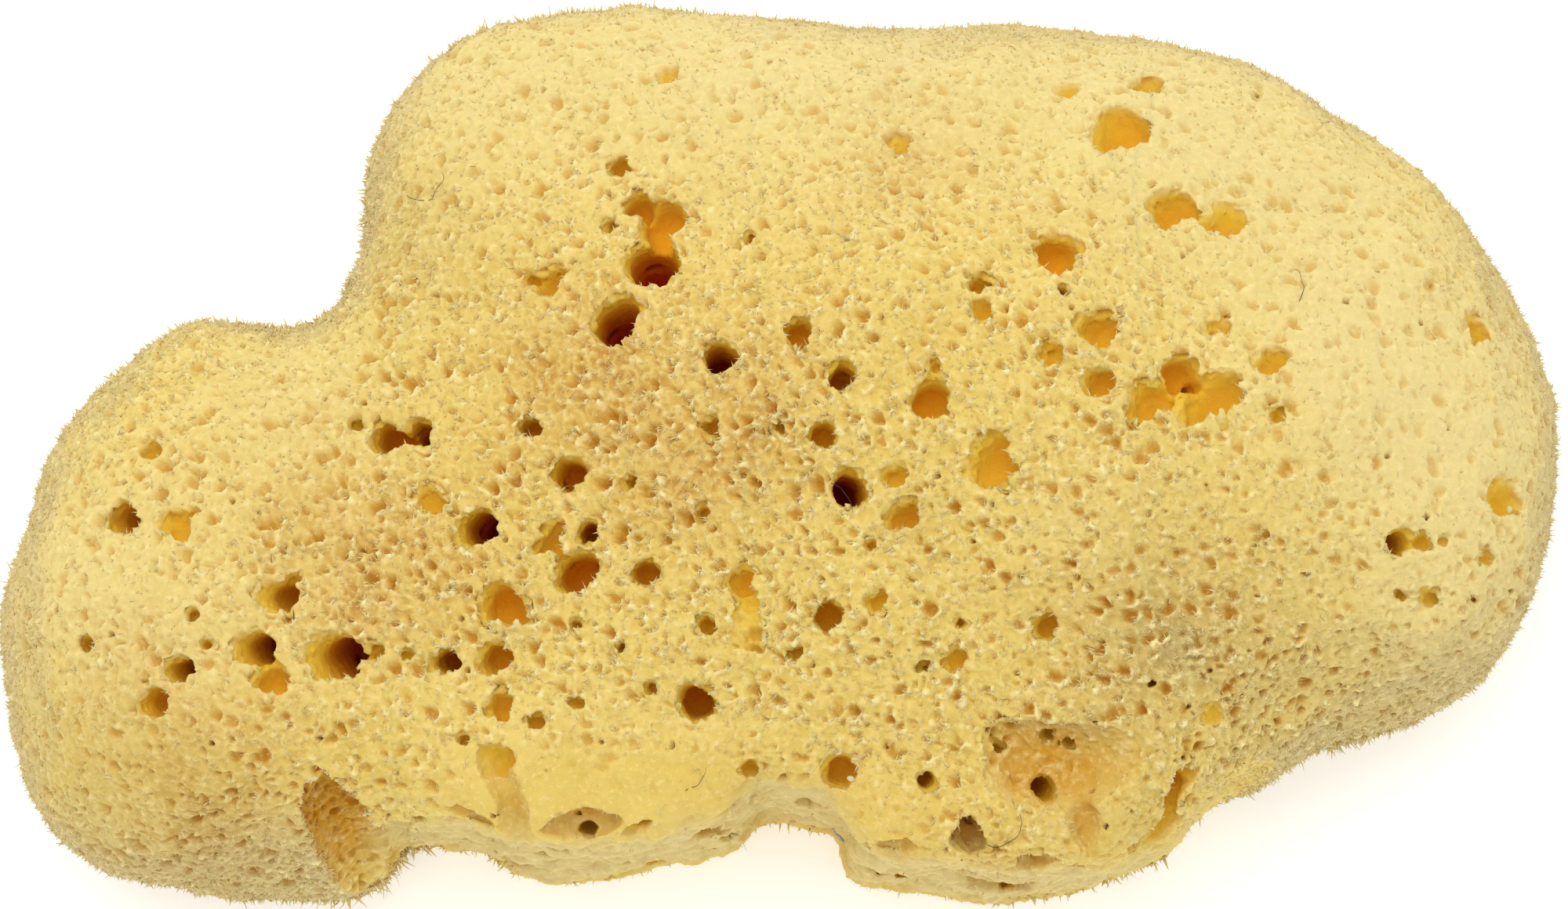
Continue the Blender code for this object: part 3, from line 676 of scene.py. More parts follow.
def scatter(places, spacing):
    """For each place, how far in spacings the nearest point of a random scatter is, and its mark."""
    near = np.empty(len(places))
    mark = np.empty(len(places))
    for index, place in enumerate(places):
        distances, points = noise.voronoi(place / spacing)
        near[index] = distances[0]
        mark[index] = 0.5 + 0.5 * noise.cell(points[0] * 57)
    return near, mark


def waves(places, spacing):
    """Soft noise at each place, from about -1 to 1."""
    return np.array([noise.noise(place / spacing) for place in places])


def bowl(near, radius):
    """1 in the middle of a round hollow and 0 from its rim on."""
    return np.clip(1 - (near / radius) ** 2, 0, 1)


def step(values, low, high):
    """0 below low, 1 above high, and a smooth rise between them."""
    part = np.clip((values - low) / (high - low), 0, 1)
    return part * part * (3 - 2 * part)


def seen_at(places):
    """Where each place lies on the sight plane, as u and v in millimetres."""
    eye = np.array(on_sight_plane(0, 0, SIGHT_DISTANCE))
    up = np.array((0, math.cos(SIGHT_TILT), math.sin(SIGHT_TILT)))
    towards_eye = np.array((0, -math.sin(SIGHT_TILT), math.cos(SIGHT_TILT)))
    lines = places - eye
    scale = SIGHT_DISTANCE / -(lines @ towards_eye)
    return lines[:, 0] * scale / MM, (lines @ up) * scale / MM


def vertex_table(mesh, field):
    """Positions or normals of a mesh's vertices as an array."""
    values = np.empty(len(mesh.vertices) * 3, np.float32)
    source = mesh.vertices if field == "co" else mesh.vertex_normals
    source.foreach_get("co" if field == "co" else "vector", values)
    return values.reshape(-1, 3).astype(float)


def keep_attribute(mesh, name, values):
    """Keep one number for each vertex, for the materials to read."""
    attribute = mesh.attributes.new(name, "FLOAT", "POINT")
    attribute.data.foreach_set("value", np.asarray(values, np.float32))


def patches(u, v, table):
    """Sum of round soft patches, each with its own strength, at each place of the sight plane."""
    total = np.zeros(len(u))
    for centre_u, centre_v, reach, strength in table:
        total += strength * np.exp(-((u - centre_u) ** 2 + (v - centre_v) ** 2) / reach**2)
    return total


def pores(places):
    """How far each place lies in a pore, from 0 to 1, and how deep the pore is there."""
    inside = np.zeros(len(places))
    depth = np.zeros(len(places))
    for spacing, least, spread, deepest in (WIDE_PORES, SMALL_PORES):
        near, mark = scatter(places, spacing)
        share = bowl(near, least + spread * mark) ** 0.8 * (0.38 + 0.62 * mark)
        inside = np.maximum(inside, share)
        depth = np.maximum(depth, share * deepest)
    return inside, depth


def distances(tree, places):
    """How far each place is from the surface in the tree."""
    return np.array([tree.find_nearest(place)[3] for place in places])


def relief(body, uncut, walled, laid_open):
    """Give the skin its pores, conules and grain, and keep what its colours follow."""
    mesh = body.data
    table = vertex_table(mesh, "co")
    normals = vertex_table(mesh, "normal")
    places = [Vector(row) for row in table]
    sunk = distances(laid_open, places)

    wavy = []
    for place in places:
        drawn_out = place - PULL * place.dot(PULL) * STRETCH
        wavy.append(drawn_out + noise.noise_vector(place / WARP_SPACING) * WARP_REACH)
    pore, depth = pores(wavy)
    pin_near, pin_mark = scatter(places, PINHOLE_SPACING)
    pinhole = bowl(pin_near, PINHOLE_WIDTH) * (pin_mark > 0.5)
    lip = pores([p - PULL * LIP_REACH for p in wavy])[0] * (1 - np.clip(pore * 1.6, 0, 1))
    conule_near, conule_mark = scatter(places, CONULE_SPACING)
    broad = waves(places, LUMP_SPACING)
    felt = 0.5 - np.abs(waves(wavy, FELT_SPACING)) * 2
    grain = waves(wavy, GRAIN_SPACING)

    on_skin = 1 - step(sunk, 0.35 * MM, 1.2 * MM)
    on_base = step(-normals[:, 2], 0.8, 0.95) * (table[:, 2] < 0.6 * MM)
    u, v = seen_at(table)
    opened = np.clip(distances(walled, places) / OPEN_DEPTH, 0, 1) ** 0.75 * on_skin
    sliced = distances(uncut, places)
    knife = step(sliced, 0.6 * MM, 2.6 * MM) * on_skin * (1 - opened)
    smooth = np.clip(patches(u, v, CALMS), 0, 1)
    calm = 1 - np.clip(smooth + 0.45 * knife + 0.1 * opened, 0, 0.85)
    # Painted shade: where the skin turns from facing up to facing the sides, it is painted darker and greyer.
    flank = (1 - step(normals[:, 2], 0.15, 0.75)) * on_skin * (1 - on_base)
    flank *= (1 - step(sliced, 0.15 * MM, 0.5 * MM)) * (1 - np.clip(opened * 4, 0, 1))
    stain_and_shade = patches(u, v, STAIN_AND_SHADE_PATCHES) * (0.75 + 0.5 * waves(places, 5 * MM))
    stain_and_shade = np.clip(stain_and_shade, 0, 1) * on_skin * (1 - opened)

    conule = np.clip(1 - conule_near / 0.40, 0, 1) ** 1.4 * (0.4 + 0.6 * conule_mark)
    near_top = 1 - step(sunk, 0.7 * MM, 2.4 * MM)
    depth *= calm * (0.15 + 0.85 * near_top) * (0.85 + 0.4 * stain_and_shade)
    proud = 1 - on_base
    lip *= on_skin * calm
    torn = waves(places, TEAR_SPACING) * 0.9 + (0.5 - np.abs(waves(wavy, TEAR_SPACING / 2)) * 2) * 0.5
    pinhole *= on_skin * (1 - on_base)
    depth = np.maximum(depth, pinhole * PINHOLE_DEPTH)
    rise = conule * CONULE_HEIGHT * (1 - pore) * proud * near_top * (0.4 + 0.6 * calm)
    rise += (broad * LUMP_HEIGHT * on_skin + grain * GRAIN_HEIGHT * (0.4 + 0.6 * calm)) * proud
    rise += (lip * LIP_HEIGHT + torn * knife * TEAR_HEIGHT) * proud
    rise += felt * FELT_HEIGHT * (1 - pore) * proud * (0.2 + 0.8 * near_top) * (0.3 + 0.7 * calm)

    pull = np.array(PULL)
    along = pull - normals * (normals @ pull)[:, None]
    moved = table + normals * (rise - depth)[:, None] + along * (depth * PORE_LEAN * on_skin)[:, None]
    moved[:, 2] = np.maximum(moved[:, 2], 0)
    flat = on_base > 0.5
    moved[flat, 2] = np.maximum(0, moved[flat, 2] - table[flat, 2])
    mesh.vertices.foreach_set("co", moved.astype(np.float32).ravel())

    keep_attribute(mesh, "pore", np.clip(depth / PORE_COLOUR_DEPTH, 0, 1))
    # Painted highlight: a pale band just inside the mouths of the oscula, kept only on the rims that face up and
    # to the left, towards the lamp. It is laid into the tip colour.
    rim = np.exp(-(((sunk - 0.22 * MM) / (0.16 * MM)) ** 2)) * (sunk > 0.08 * MM)
    rim *= step(-(normals @ pull), 0.0, 0.4)
    tip = np.clip(conule + felt * 0.4 + lip * 1.2, 0, 1) * (1 - pore) * on_skin * calm
    keep_attribute(mesh, "tip", np.maximum(tip, rim * 0.6))
    keep_attribute(mesh, "channel", np.clip(sunk / (DEEP * MM), 0, 1))
    keep_attribute(mesh, "stain_and_shade", stain_and_shade * (0.45 + 0.55 * np.clip(0.5 - felt - conule, 0, 1)))
    keep_attribute(mesh, "knife", knife)
    # The cut wall is painted a duller cream: partly its own tone, and partly painted light that lightens it,
    # since the lamp stands behind the wall.
    keep_attribute(mesh, "cut_wall_tone_and_light", step(sliced, 0.4 * MM, 6 * MM) * on_skin)
    keep_attribute(mesh, "opened", opened)
    keep_attribute(mesh, "calm", calm)
    keep_attribute(mesh, "pale", np.clip(1.4 * smooth, 0, 1) * step(v, -29, -16) * on_skin)
    keep_attribute(mesh, "flank", flank)
    keep_attribute(mesh, "pinhole", pinhole)
    # Painted shade in patches, mostly in the valley at the right.
    keep_attribute(mesh, "dull", np.clip(patches(u, v, PAINTED_SHADE_PATCHES), 0, 1) * on_skin)
    towards_eye = np.array((0, -math.sin(SIGHT_TILT), math.cos(SIGHT_TILT)))
    keep_attribute(mesh, "facing", normals @ towards_eye)


def strand_piece(name, roots, directions, bends, lengths, widths):
    """One piece of many tapering three-sided strands, each bent towards its tip and closed."""
    count = len(roots)
    side = np.cross(directions, bends)
    side /= np.linalg.norm(side, axis=1)[:, None]
    flat = np.cross(side, directions)
    lengths, widths = lengths[:, None], widths[:, None]
    rings = []
    for part, share in ((-0.2, 1.0), (0.5, 0.62)):
        centre = roots + directions * lengths * part + bends * lengths * 0.25 * max(part, 0) ** 2
        for corner in range(3):
            angle = math.tau * corner / 3
            spoke = side * math.cos(angle) + flat * math.sin(angle) * 0.6
            rings.append(centre + spoke * widths * share / 2)
    rings.append(roots + directions * lengths * 0.9 + bends * lengths * 0.4)
    places = np.stack(rings, axis=1).reshape(-1, 3)
    places[:, 2] = np.maximum(places[:, 2], 0)
    pattern = [(2, 1, 0)]
    pattern += [(corner, (corner + 1) % 3, 3 + (corner + 1) % 3, 3 + corner) for corner in range(3)]
    pattern += [(3 + corner, 3 + (corner + 1) % 3, 6) for corner in range(3)]
    faces = [[start + corner for corner in face] for start in range(0, count * 7, 7) for face in pattern]
    mesh = bpy.data.meshes.new(name)
    mesh.from_pydata(places.tolist(), [], faces)
    mesh.shade_smooth()
    piece = bpy.data.objects.new(name, mesh)
    bpy.context.collection.objects.link(piece)
    face_outwards(piece)
    return piece


def spike_piece(name, roots, directions, bends, lengths, widths):
    """One piece of many short flat-rooted spikes, each closed with four faces."""
    side = unit(np.cross(directions, bends))
    flat = np.cross(side, directions)
    lengths, widths = lengths[:, None], widths[:, None]
    corners = []
    for corner in range(3):
        angle = math.tau * corner / 3
        spoke = side * math.cos(angle) + flat * math.sin(angle) * 0.5
        corners.append(roots - directions * lengths * 0.2 + spoke * widths / 2)
    corners.append(roots + directions * lengths * 0.9 + bends * lengths * 0.35)
    places = np.stack(corners, axis=1).reshape(-1, 3)
    places[:, 2] = np.maximum(places[:, 2], 0)
    pattern = [(2, 1, 0), (0, 1, 3), (1, 2, 3), (2, 0, 3)]
    starts = range(0, len(places), 4)
    faces = [[start + corner for corner in face] for start in starts for face in pattern]
    mesh = bpy.data.meshes.new(name)
    mesh.from_pydata(places.tolist(), [], faces)
    mesh.shade_smooth()
    piece = bpy.data.objects.new(name, mesh)
    bpy.context.collection.objects.link(piece)
    face_outwards(piece)
    return piece


def skin_sites(body, count, weigh, dice):
    """Random places on the skin with their normals. weigh gives each triangle's share for its area."""
    mesh = body.data
    places = vertex_table(mesh, "co")
    corners = np.empty(len(mesh.polygons) * 3, np.int32)
    mesh.polygons.foreach_get("vertices", corners)
    corners = corners.reshape(-1, 3)
    a, b, c = (places[corners[:, k]] for k in range(3))
    normals = np.cross(b - a, c - a)
    area = np.linalg.norm(normals, axis=1)
    normals /= np.maximum(area, 1e-15)[:, None]
    values = {}
    for name in ("pore", "tip", "channel", "opened", "calm", "facing", "knife"):
        table = np.empty(len(places), np.float32)
        mesh.attributes[name].data.foreach_get("value", table)
        values[name] = table[corners].mean(axis=1)
    share = np.cumsum(area * weigh((a + b + c) / 3, normals, values))
    chosen = np.searchsorted(share, dice.random(count) * share[-1])
    one, two = dice.random(count), dice.random(count)
    over = one + two > 1
    one[over], two[over] = 1 - one[over], 1 - two[over]
    spots = a[chosen] + (b - a)[chosen] * one[:, None] + (c - a)[chosen] * two[:, None]
    return spots, normals[chosen]


def unit(vectors):
    """The same directions with length 1."""
    return vectors / np.linalg.norm(vectors, axis=1)[:, None]


def nap(body, dice):
    """Short flakes of fibre that stand on the ridges between the pores."""
    def ridges(places, normals, values):
        outside = (values["channel"] < 0.03) * (values["pore"] < 0.25) * (places[:, 2] > 1.5 * MM)
        return outside * (values["opened"] < 0.06) * (0.12 + values["tip"]) * values["calm"] ** 1.5

    roots, normals = skin_sites(body, NAP_SPIKES, ridges, dice)
    lean = dice.normal(size=roots.shape)
    directions = unit(normals + lean * 0.55)
    bends = unit(dice.normal(size=roots.shape) - np.array(PULL) * 0.8)
    lengths = dice.uniform(0.3, 0.85, len(roots)) * MM
    widths = dice.uniform(0.14, 0.34, len(roots)) * MM
    return spike_piece("fibre_nap", roots, directions, bends, lengths, widths)


def limb_fuzz(body, dice):
    """Short dense fuzz where the skin turns over to the flanks."""
    def flanks(places, normals, values):
        turning = np.exp(-((values["facing"] / 0.3) ** 2))
        return turning * (values["channel"] < 0.02) * (values["knife"] < 0.3) * (places[:, 2] > 0.8 * MM)

    roots, normals = skin_sites(body, FUZZ_SPIKES, flanks, dice)
    directions = unit(normals + dice.normal(size=roots.shape) * 0.5)
    bends = unit(dice.normal(size=roots.shape))
    lengths = dice.uniform(0.25, 0.75, len(roots)) * MM
    widths = dice.uniform(0.14, 0.3, len(roots)) * MM
    return spike_piece("flank_fuzz", roots, directions, bends, lengths, widths)


def fringe(body, dice):
    """Longer loose fibres along the torn and the rubbed stretches of the outline."""
    def edges(places, normals, values):
        u, v = seen_at(places)
        limb = np.abs(values["facing"]) < 0.14
        foot = (values["facing"] > 0) * (values["facing"] < 0.4) * (places[:, 2] < 3 * MM)
        limb = np.where(values["knife"] > 0.3, foot, limb + foot)
        return patches(u, v, FRINGES) * limb * (values["channel"] < 0.05) * (places[:, 2] > 0.4 * MM)

    roots, normals = skin_sites(body, FRINGE_STRANDS, edges, dice)
    directions = unit(normals + dice.normal(size=roots.shape) * 0.28)
    bends = unit(dice.normal(size=roots.shape) + np.array((0, 0, -0.5)))
    torn = np.clip(patches(*seen_at(roots), FRINGES) / 2.5, 0, 1)
    lengths = dice.uniform(0.4, 1.0, len(roots)) ** 2 * (0.9 + 1.1 * torn) * MM
    widths = dice.uniform(0.2, 0.5, len(roots)) * MM
    return strand_piece("fibre_fringe", roots, directions, bends, lengths, widths)


def lump(place, normal, size, seed):
    """A small uneven lump, twice as long as it is thick."""
    bpy.ops.object.select_all(action="DESELECT")
    bpy.ops.mesh.primitive_ico_sphere_add(subdivisions=3, radius=1)
    piece = bpy.context.object
    turn = normal.to_track_quat("Z", "Y").to_matrix().to_4x4()
    for vertex in piece.data.vertices:
        vertex.co += noise.noise_vector(vertex.co * 1.3 + Vector((seed, 0, 0))) * 0.3
    flat = Matrix.Diagonal((size[0] / 2 * MM, size[1] / 2 * MM, size[2] / 2 * MM, 1))
    piece.data.transform(Matrix.Translation(place) @ turn @ flat)
    piece.data.shade_smooth()
    return piece


def shell_chip(outer):
    """The chip of grey shell that is caught in the cut wall."""
    place, normal, _ = seen_point(outer, SHELL_CHIP[0] * MM, SHELL_CHIP[1] * MM)
    chip = lump(place, normal, SHELL_CHIP[2], 3.1)
    chip.name = "shell_chip"
    material, shader = new_material("grey_shell")
    place = add_node(material, "ShaderNodeTexCoord").outputs["Object"]
    bands = add_node(
        material, "ShaderNodeTexNoise", inputs={"Vector": place, "Scale": 1 / (0.4 * MM), "Detail": 2.0}
    ).outputs["Fac"]
    colour = mixed(material, bands, linear("#6E6A62"), linear("#B4B0A4"))
    material.node_tree.links.new(colour, shader.inputs["Base Color"])
    shader.inputs["Roughness"].default_value = 0.45
    chip.data.materials.append(material)
    return chip


def grains(outer, dice):
    """Pale grains of sand that lie in the mouths and in a few pores."""
    lumps = []
    for index, (u, v, size) in enumerate(GRAINS):
        place, normal, _ = seen_point(outer, u * MM, v * MM)
        thick = size * dice.uniform(0.6, 0.9)
        lumps.append(lump(place, normal, (size, size * 0.8, thick), index * 2.3))
    bpy.ops.object.select_all(action="DESELECT")
    for piece in lumps:
        piece.select_set(True)
    bpy.context.view_layer.objects.active = lumps[0]
    bpy.ops.object.join()
    lumps[0].name = "sand_grains"
    material, shader = new_material("pale_sand")
    shader.inputs["Base Color"].default_value = linear("#D8CDA2")
    shader.inputs["Roughness"].default_value = 0.5
    lumps[0].data.materials.append(material)
    return lumps[0]


def hairs(outer, draw):
    """Loose dark hairs that curl over the skin."""
    pieces = []
    for index, (u, v, length, heading, curl) in enumerate(HAIRS):
        angle = math.radians(heading)
        centres = []
        for stride in range(HAIR_STEPS + 1):
            place, normal, _ = seen_point(outer, u * MM, v * MM)
            if place is None:
                break
            centres.append(place + normal * (0.25 + 0.3 * math.sin(stride * 0.55 + index)) * MM)
            u += math.cos(angle) * length / HAIR_STEPS
            v += math.sin(angle) * length / HAIR_STEPS
            angle += math.radians(curl / HAIR_STEPS) * draw.uniform(0.5, 1.5)
        rings = []
        for at, centre in enumerate(centres):
            along = (centres[min(at + 1, len(centres) - 1)] - centres[max(at - 1, 0)]).normalized()
            across = along.orthogonal().normalized()
            beside = along.cross(across)
            radius = HAIR_WIDTH / 2 * (1 - 0.6 * at / len(centres))
            ring = []
            for side in range(5):
                turn = math.tau * side / 5
                ring.append(centre + (across * math.cos(turn) + beside * math.sin(turn)) * radius)
            rings.append(ring)
        pieces.append(closed_tube(f"hair_{index}", rings))
    bpy.ops.object.select_all(action="DESELECT")
    for piece in pieces:
        piece.select_set(True)
    bpy.context.view_layer.objects.active = pieces[0]
    bpy.ops.object.join()
    pieces[0].name = "loose_hairs"
    face_outwards(pieces[0])
    pieces[0].data.shade_smooth()
    material, shader = new_material("dark_hair")
    shader.inputs["Base Color"].default_value = linear("#4A3524")
    shader.inputs["Roughness"].default_value = 0.45
    pieces[0].data.materials.append(material)
    return pieces[0]


def part_in_lengths(body):
    """Part the finished skin into lengths along the sponge, with the shading of one skin."""
    mesh = body.data
    normals = vertex_table(mesh, "normal")
    attribute = mesh.attributes.new("skin_normal", "FLOAT_VECTOR", "POINT")
    attribute.data.foreach_set("vector", normals.astype(np.float32).ravel())
    centres = np.array([Vector(polygon.center) for polygon in mesh.polygons])
    along = centres[:, 0] + np.array([noise.noise(Vector(row) / (6 * MM)) for row in centres]) * 2 * MM
    bounds = np.quantile(along, np.linspace(0, 1, SKIN_LENGTHS + 1)[1:-1])
    number = np.searchsorted(bounds, along).astype(np.int32)
    mesh.attributes.new("length_number", "INT", "FACE").data.foreach_set("value", number)
    bpy.context.tool_settings.mesh_select_mode = (False, False, True)
    lengths = []
    for index in range(SKIN_LENGTHS - 1):
        only(body)
        number = np.empty(len(body.data.polygons), np.int32)
        body.data.attributes["length_number"].data.foreach_get("value", number)
        body.data.polygons.foreach_set("select", number == index)
        bpy.ops.object.mode_set(mode="EDIT")
        bpy.ops.mesh.separate(type="SELECTED")
        bpy.ops.object.mode_set(mode="OBJECT")
        piece = [o for o in bpy.context.selected_objects if o != body][0]
        lengths.append(piece)
    lengths.append(body)
    for index, piece in enumerate(lengths):
        piece.name = f"sponge_length_{index + 1}"
        values = np.empty(len(piece.data.vertices) * 3, np.float32)
        piece.data.attributes["skin_normal"].data.foreach_get("vector", values)
        piece.data.attributes.remove(piece.data.attributes["skin_normal"])
        piece.data.attributes.remove(piece.data.attributes["length_number"])
        piece.data.shade_smooth()
        piece.data.normals_split_custom_set_from_vertices(values.reshape(-1, 3).tolist())
    return lengths


def linear(hexadecimal):
    """Linear colour of an sRGB hex value."""
    parts = [int(hexadecimal[at:at + 2], 16) / 255 for at in (1, 3, 5)]
    return (*[c / 12.92 if c <= 0.04045 else ((c + 0.055) / 1.055) ** 2.4 for c in parts], 1)


def add_node(material, kind, settings=None, inputs=None):
    """Add one node with its settings; an input is a value or another node's output."""
    tree = material.node_tree
    node = tree.nodes.new(kind)
    for name, value in (settings or {}).items():
        setattr(node, name, value)
    for name, value in (inputs or {}).items():
        if isinstance(value, bpy.types.NodeSocket):
            tree.links.new(value, node.inputs[name])
        else:
            node.inputs[name].default_value = value
    return node


def new_material(name):
    """An empty material and its Principled shader."""
    material = bpy.data.materials.new(name)
    material.use_nodes = True
    return material, material.node_tree.nodes["Principled BSDF"]


def mixed(material, share, first, second):
    """Colour between two others."""
    inputs = {0: share, 6: first, 7: second}
    return add_node(material, "ShaderNodeMix", {"data_type": "RGBA"}, inputs).outputs[2]


def dried_spongin():
    """Spongin, grown as a felt of fibres, bleached and dried: matt, cream on its ridges, golden where light has
    passed through it on its way out of a pore, and red-brown deep in the channels.
    Much of this is painted light. The pores and channels are painted darker with depth, as painted shade and
    glow. The flanks and the olive patches are painted shade. The cut wall is painted lighter in part. The rims of
    the oscula that face the lamp carry a painted highlight."""
    material, shader = new_material("dried_spongin")
    read = {
        name: add_node(material, "ShaderNodeAttribute", {"attribute_name": name}).outputs["Fac"]
        for name in ("pore", "tip", "channel", "stain_and_shade", "cut_wall_tone_and_light", "opened", "pale", "flank", "pinhole", "dull")
    }
    place = add_node(material, "ShaderNodeTexCoord").outputs["Object"]
    mottle = add_node(
        material, "ShaderNodeTexNoise", inputs={"Vector": place, "Scale": 1 / (5 * MM), "Detail": 4.0}
    ).outputs["Fac"]
    speckle = add_node(
        material, "ShaderNodeTexNoise", inputs={"Vector": place, "Scale": 1 / (0.5 * MM), "Detail": 3.0}
    ).outputs["Fac"]
    cloud = add_node(
        material, "ShaderNodeMapRange", inputs={"Value": mottle, 1: 0.35, 2: 0.65, 3: 0.55, 4: 1.3}
    ).outputs[0]
    skin = mixed(material, mottle, linear("#EED478"), linear("#E0C05C"))
    skin = mixed(material, read["pale"], skin, linear("#ECDA9A"))
    # Painted shade on the flanks.
    skin = mixed(material, read["flank"], skin, linear("#CBB67F"))
    # Brown stains, with painted shade in the valley at the right and in hollows of the cut wall.
    skin = mixed(material, read["stain_and_shade"], skin, linear("#CB9845"))
    # Painted shade in greyish olive, mostly in the valley at the right.
    skin = mixed(material, read["dull"], skin, linear("#BDA362"))
    # Cut wall: its own duller cream, partly painted light.
    skin = mixed(material, read["cut_wall_tone_and_light"], skin, linear("#DEC885"))
    # Channels that were laid open and hollows of the cut wall: golden and darker deeper in. This is partly the
    # inner fibre's own tone and partly painted shade.
    open_share = add_node(
        material, "ShaderNodeMath", {"operation": "MULTIPLY", "use_clamp": True}, {0: read["opened"], 1: cloud}
    ).outputs[0]
    skin = mixed(material, open_share, skin, linear("#D8A83A"))
    laid_deep = add_node(
        material, "ShaderNodeMapRange", inputs={"Value": read["opened"], 1: 0.45, 2: 0.95}
    ).outputs[0]
    skin = mixed(material, laid_deep, skin, linear("#D29A1C"))
    # Pores are painted a darker gold the deeper they are: painted shade, and a painted glow of light that passes
    # through the fibre.
    pore_share = add_node(
        material, "ShaderNodeMath", {"operation": "MULTIPLY"}, {0: read["pore"], 1: 0.9}
    ).outputs[0]
    skin = mixed(material, pore_share, skin, linear("#CD9216"))
    # Pinholes painted dark brown: painted shade.
    skin = mixed(material, read["pinhole"], skin, linear("#8A5216"))
    speck = add_node(
        material, "ShaderNodeMapRange", inputs={"Value": speckle, 1: 0.55, 2: 0.75, 3: 0.0, 4: 0.5}
    ).outputs[0]
    skin = mixed(material, speck, skin, linear("#FBE8A2"))
    # Paler cream of their own on the tips of the conules and lips, and a painted highlight on the rims of the
    # oscula that face the lamp.
    skin = mixed(material, read["tip"], skin, linear("#FFEDAC"))
    # Inside the channels the colour runs from gold through orange to red-brown with depth: partly the darker
    # fibre and silt inside, and partly painted shade and a painted glow of light that bounces in the channels and
    # passes through their walls.
    ramp = add_node(material, "ShaderNodeValToRGB", inputs={"Fac": read["channel"]})
    stops = [
        (0.0, "#ECCC54"), (0.12, "#EABC36"), (0.3, "#F0B424"),
        (0.5, "#F2A41C"), (0.72, "#EC6C16"), (1.0, "#DC420C"),
    ]
    while len(ramp.color_ramp.elements) < len(stops):
        ramp.color_ramp.elements.new(0.5)
    for element, (position, colour) in zip(ramp.color_ramp.elements, stops):
        element.position = position
        element.color = linear(colour)
    inside = add_node(
        material, "ShaderNodeMapRange", inputs={"Value": read["channel"], 1: 0.01, 2: 0.07}
    ).outputs[0]
    skin = mixed(material, inside, skin, ramp.outputs["Color"])
    grain = add_node(
        material, "ShaderNodeTexNoise", inputs={"Vector": place, "Scale": 1 / (0.22 * MM), "Detail": 2.0}
    ).outputs["Fac"]
    bump = add_node(
        material, "ShaderNodeBump", inputs={"Height": grain, "Distance": 0.12 * MM, "Strength": 0.6}
    ).outputs["Normal"]
    material.node_tree.links.new(skin, shader.inputs["Base Color"])
    material.node_tree.links.new(bump, shader.inputs["Normal"])
    shader.inputs["Roughness"].default_value = 0.9
    shader.inputs["Specular IOR Level"].default_value = 0.2
    shader.inputs["Subsurface Weight"].default_value = 0.4
    shader.inputs["Subsurface Radius"].default_value = (1.0, 0.55, 0.15)
    shader.inputs["Subsurface Scale"].default_value = 0.7 * MM
    return material


def loose_fibre():
    """Spongin again, as single fibres: too thin to hold colour, so they catch the light as pale cream."""
    material, shader = new_material("loose_fibre")
    place = add_node(material, "ShaderNodeTexCoord").outputs["Object"]
    shade = add_node(
        material, "ShaderNodeTexNoise", inputs={"Vector": place, "Scale": 1 / (1.5 * MM), "Detail": 2.0}
    ).outputs["Fac"]
    colour = mixed(material, shade, linear("#FAEAB2"), linear("#E8CC7A"))
    material.node_tree.links.new(colour, shader.inputs["Base Color"])
    shader.inputs["Roughness"].default_value = 0.7
    shader.inputs["Specular IOR Level"].default_value = 0.3
    return material


def floor_paper():
    """Matt white card, smooth enough to show no grain."""
    material, shader = new_material("white_card")
    shader.inputs["Base Color"].default_value = linear("#F7F7F5")
    shader.inputs["Roughness"].default_value = 0.9
    shader.inputs["Emission Color"].default_value = (1, 1, 1, 1)
    shader.inputs["Emission Strength"].default_value = 0.35
    return material


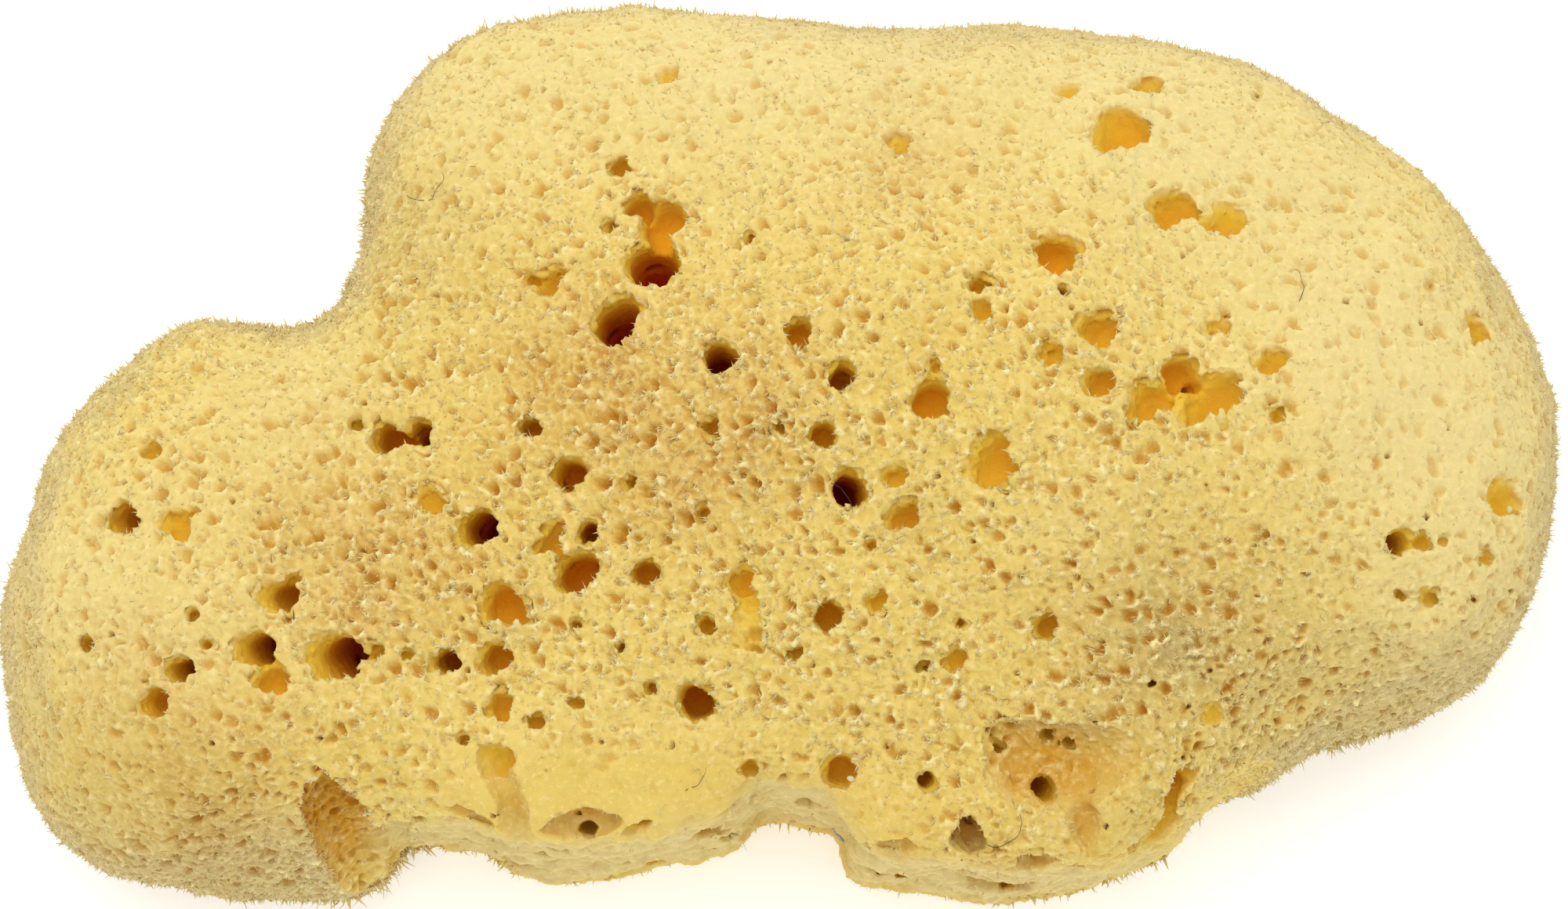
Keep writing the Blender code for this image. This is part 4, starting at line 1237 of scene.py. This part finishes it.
def studio():
    """White card, an even white surround and one wide soft light above and behind."""
    scene = bpy.context.scene
    bpy.ops.object.select_all(action="DESELECT")
    bpy.ops.mesh.primitive_plane_add(size=4, location=(0, 0, -0.05 * MM))
    card = bpy.context.object
    card.name = "white_card"
    bpy.ops.object.transform_apply(location=True)
    card.data.materials.append(floor_paper())
    world = bpy.data.worlds.new("white_surround")
    world.use_nodes = True
    world.node_tree.nodes["Background"].inputs["Color"].default_value = (1, 1, 1, 1)
    world.node_tree.nodes["Background"].inputs["Strength"].default_value = 0.79
    scene.world = world
    bpy.ops.object.light_add(type="AREA", location=(-0.06, 0.16, 0.62))
    lamp = bpy.context.object
    lamp.name = "soft_top_light"
    lamp.data.shape = "DISK"
    lamp.data.size = 0.5
    lamp.data.energy = 1.4
    lamp.rotation_euler = (Vector((0, 0, 0.02)) - lamp.location).to_track_quat("-Z", "Y").to_euler()
    bpy.ops.object.camera_add(location=on_sight_plane(0, 0, SIGHT_DISTANCE) - DRAWING_CENTRE)
    camera = bpy.context.object
    towards_eye = Vector((0, -math.sin(SIGHT_TILT), math.cos(SIGHT_TILT)))
    camera.rotation_euler = (-towards_eye).to_track_quat("-Z", "Y").to_euler()
    camera.data.lens = 120
    camera.data.sensor_width = 36
    camera.data.clip_start = 0.01
    scene.camera = camera
    scene.view_settings.view_transform = "Standard"


def main():
    draw = random.Random(7)
    body, uncut = grown_body()
    soften_cut(body)
    walled = BVHTree.FromObject(body, bpy.context.evaluated_depsgraph_get())
    cut(body, one_hollow(open_channels() + wall_hollows(walled)))
    laid_open = BVHTree.FromObject(body, bpy.context.evaluated_depsgraph_get())
    cut(body, one_hollow(osculum_hollows(laid_open, draw) + side_mouths(walled, draw) + base_channels(draw)))
    apply_modifier(body, "REMESH", mode="VOXEL", voxel_size=SKIN_VOXEL)
    relief(body, uncut, walled, laid_open)
    ratio = SKIN_TRIANGLES / (2 * len(body.data.polygons))
    apply_modifier(body, "DECIMATE", ratio=min(1.0, ratio), use_collapse_triangulate=True)
    dice = np.random.default_rng(7)
    strands = [nap(body, dice), limb_fuzz(body, dice), fringe(body, dice)]
    body.data.materials.clear()
    body.data.materials.append(dried_spongin())
    lengths = part_in_lengths(body)
    fibre = loose_fibre()
    for piece in strands:
        piece.data.materials.append(fibre)
    debris = [shell_chip(laid_open), grains(laid_open, dice), hairs(laid_open, draw)]
    for piece in lengths + strands + debris:
        piece.data.transform(Matrix.Translation(-DRAWING_CENTRE))
        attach(piece, "root")
    for piece in lengths:
        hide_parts("sponge")
    studio()


main()
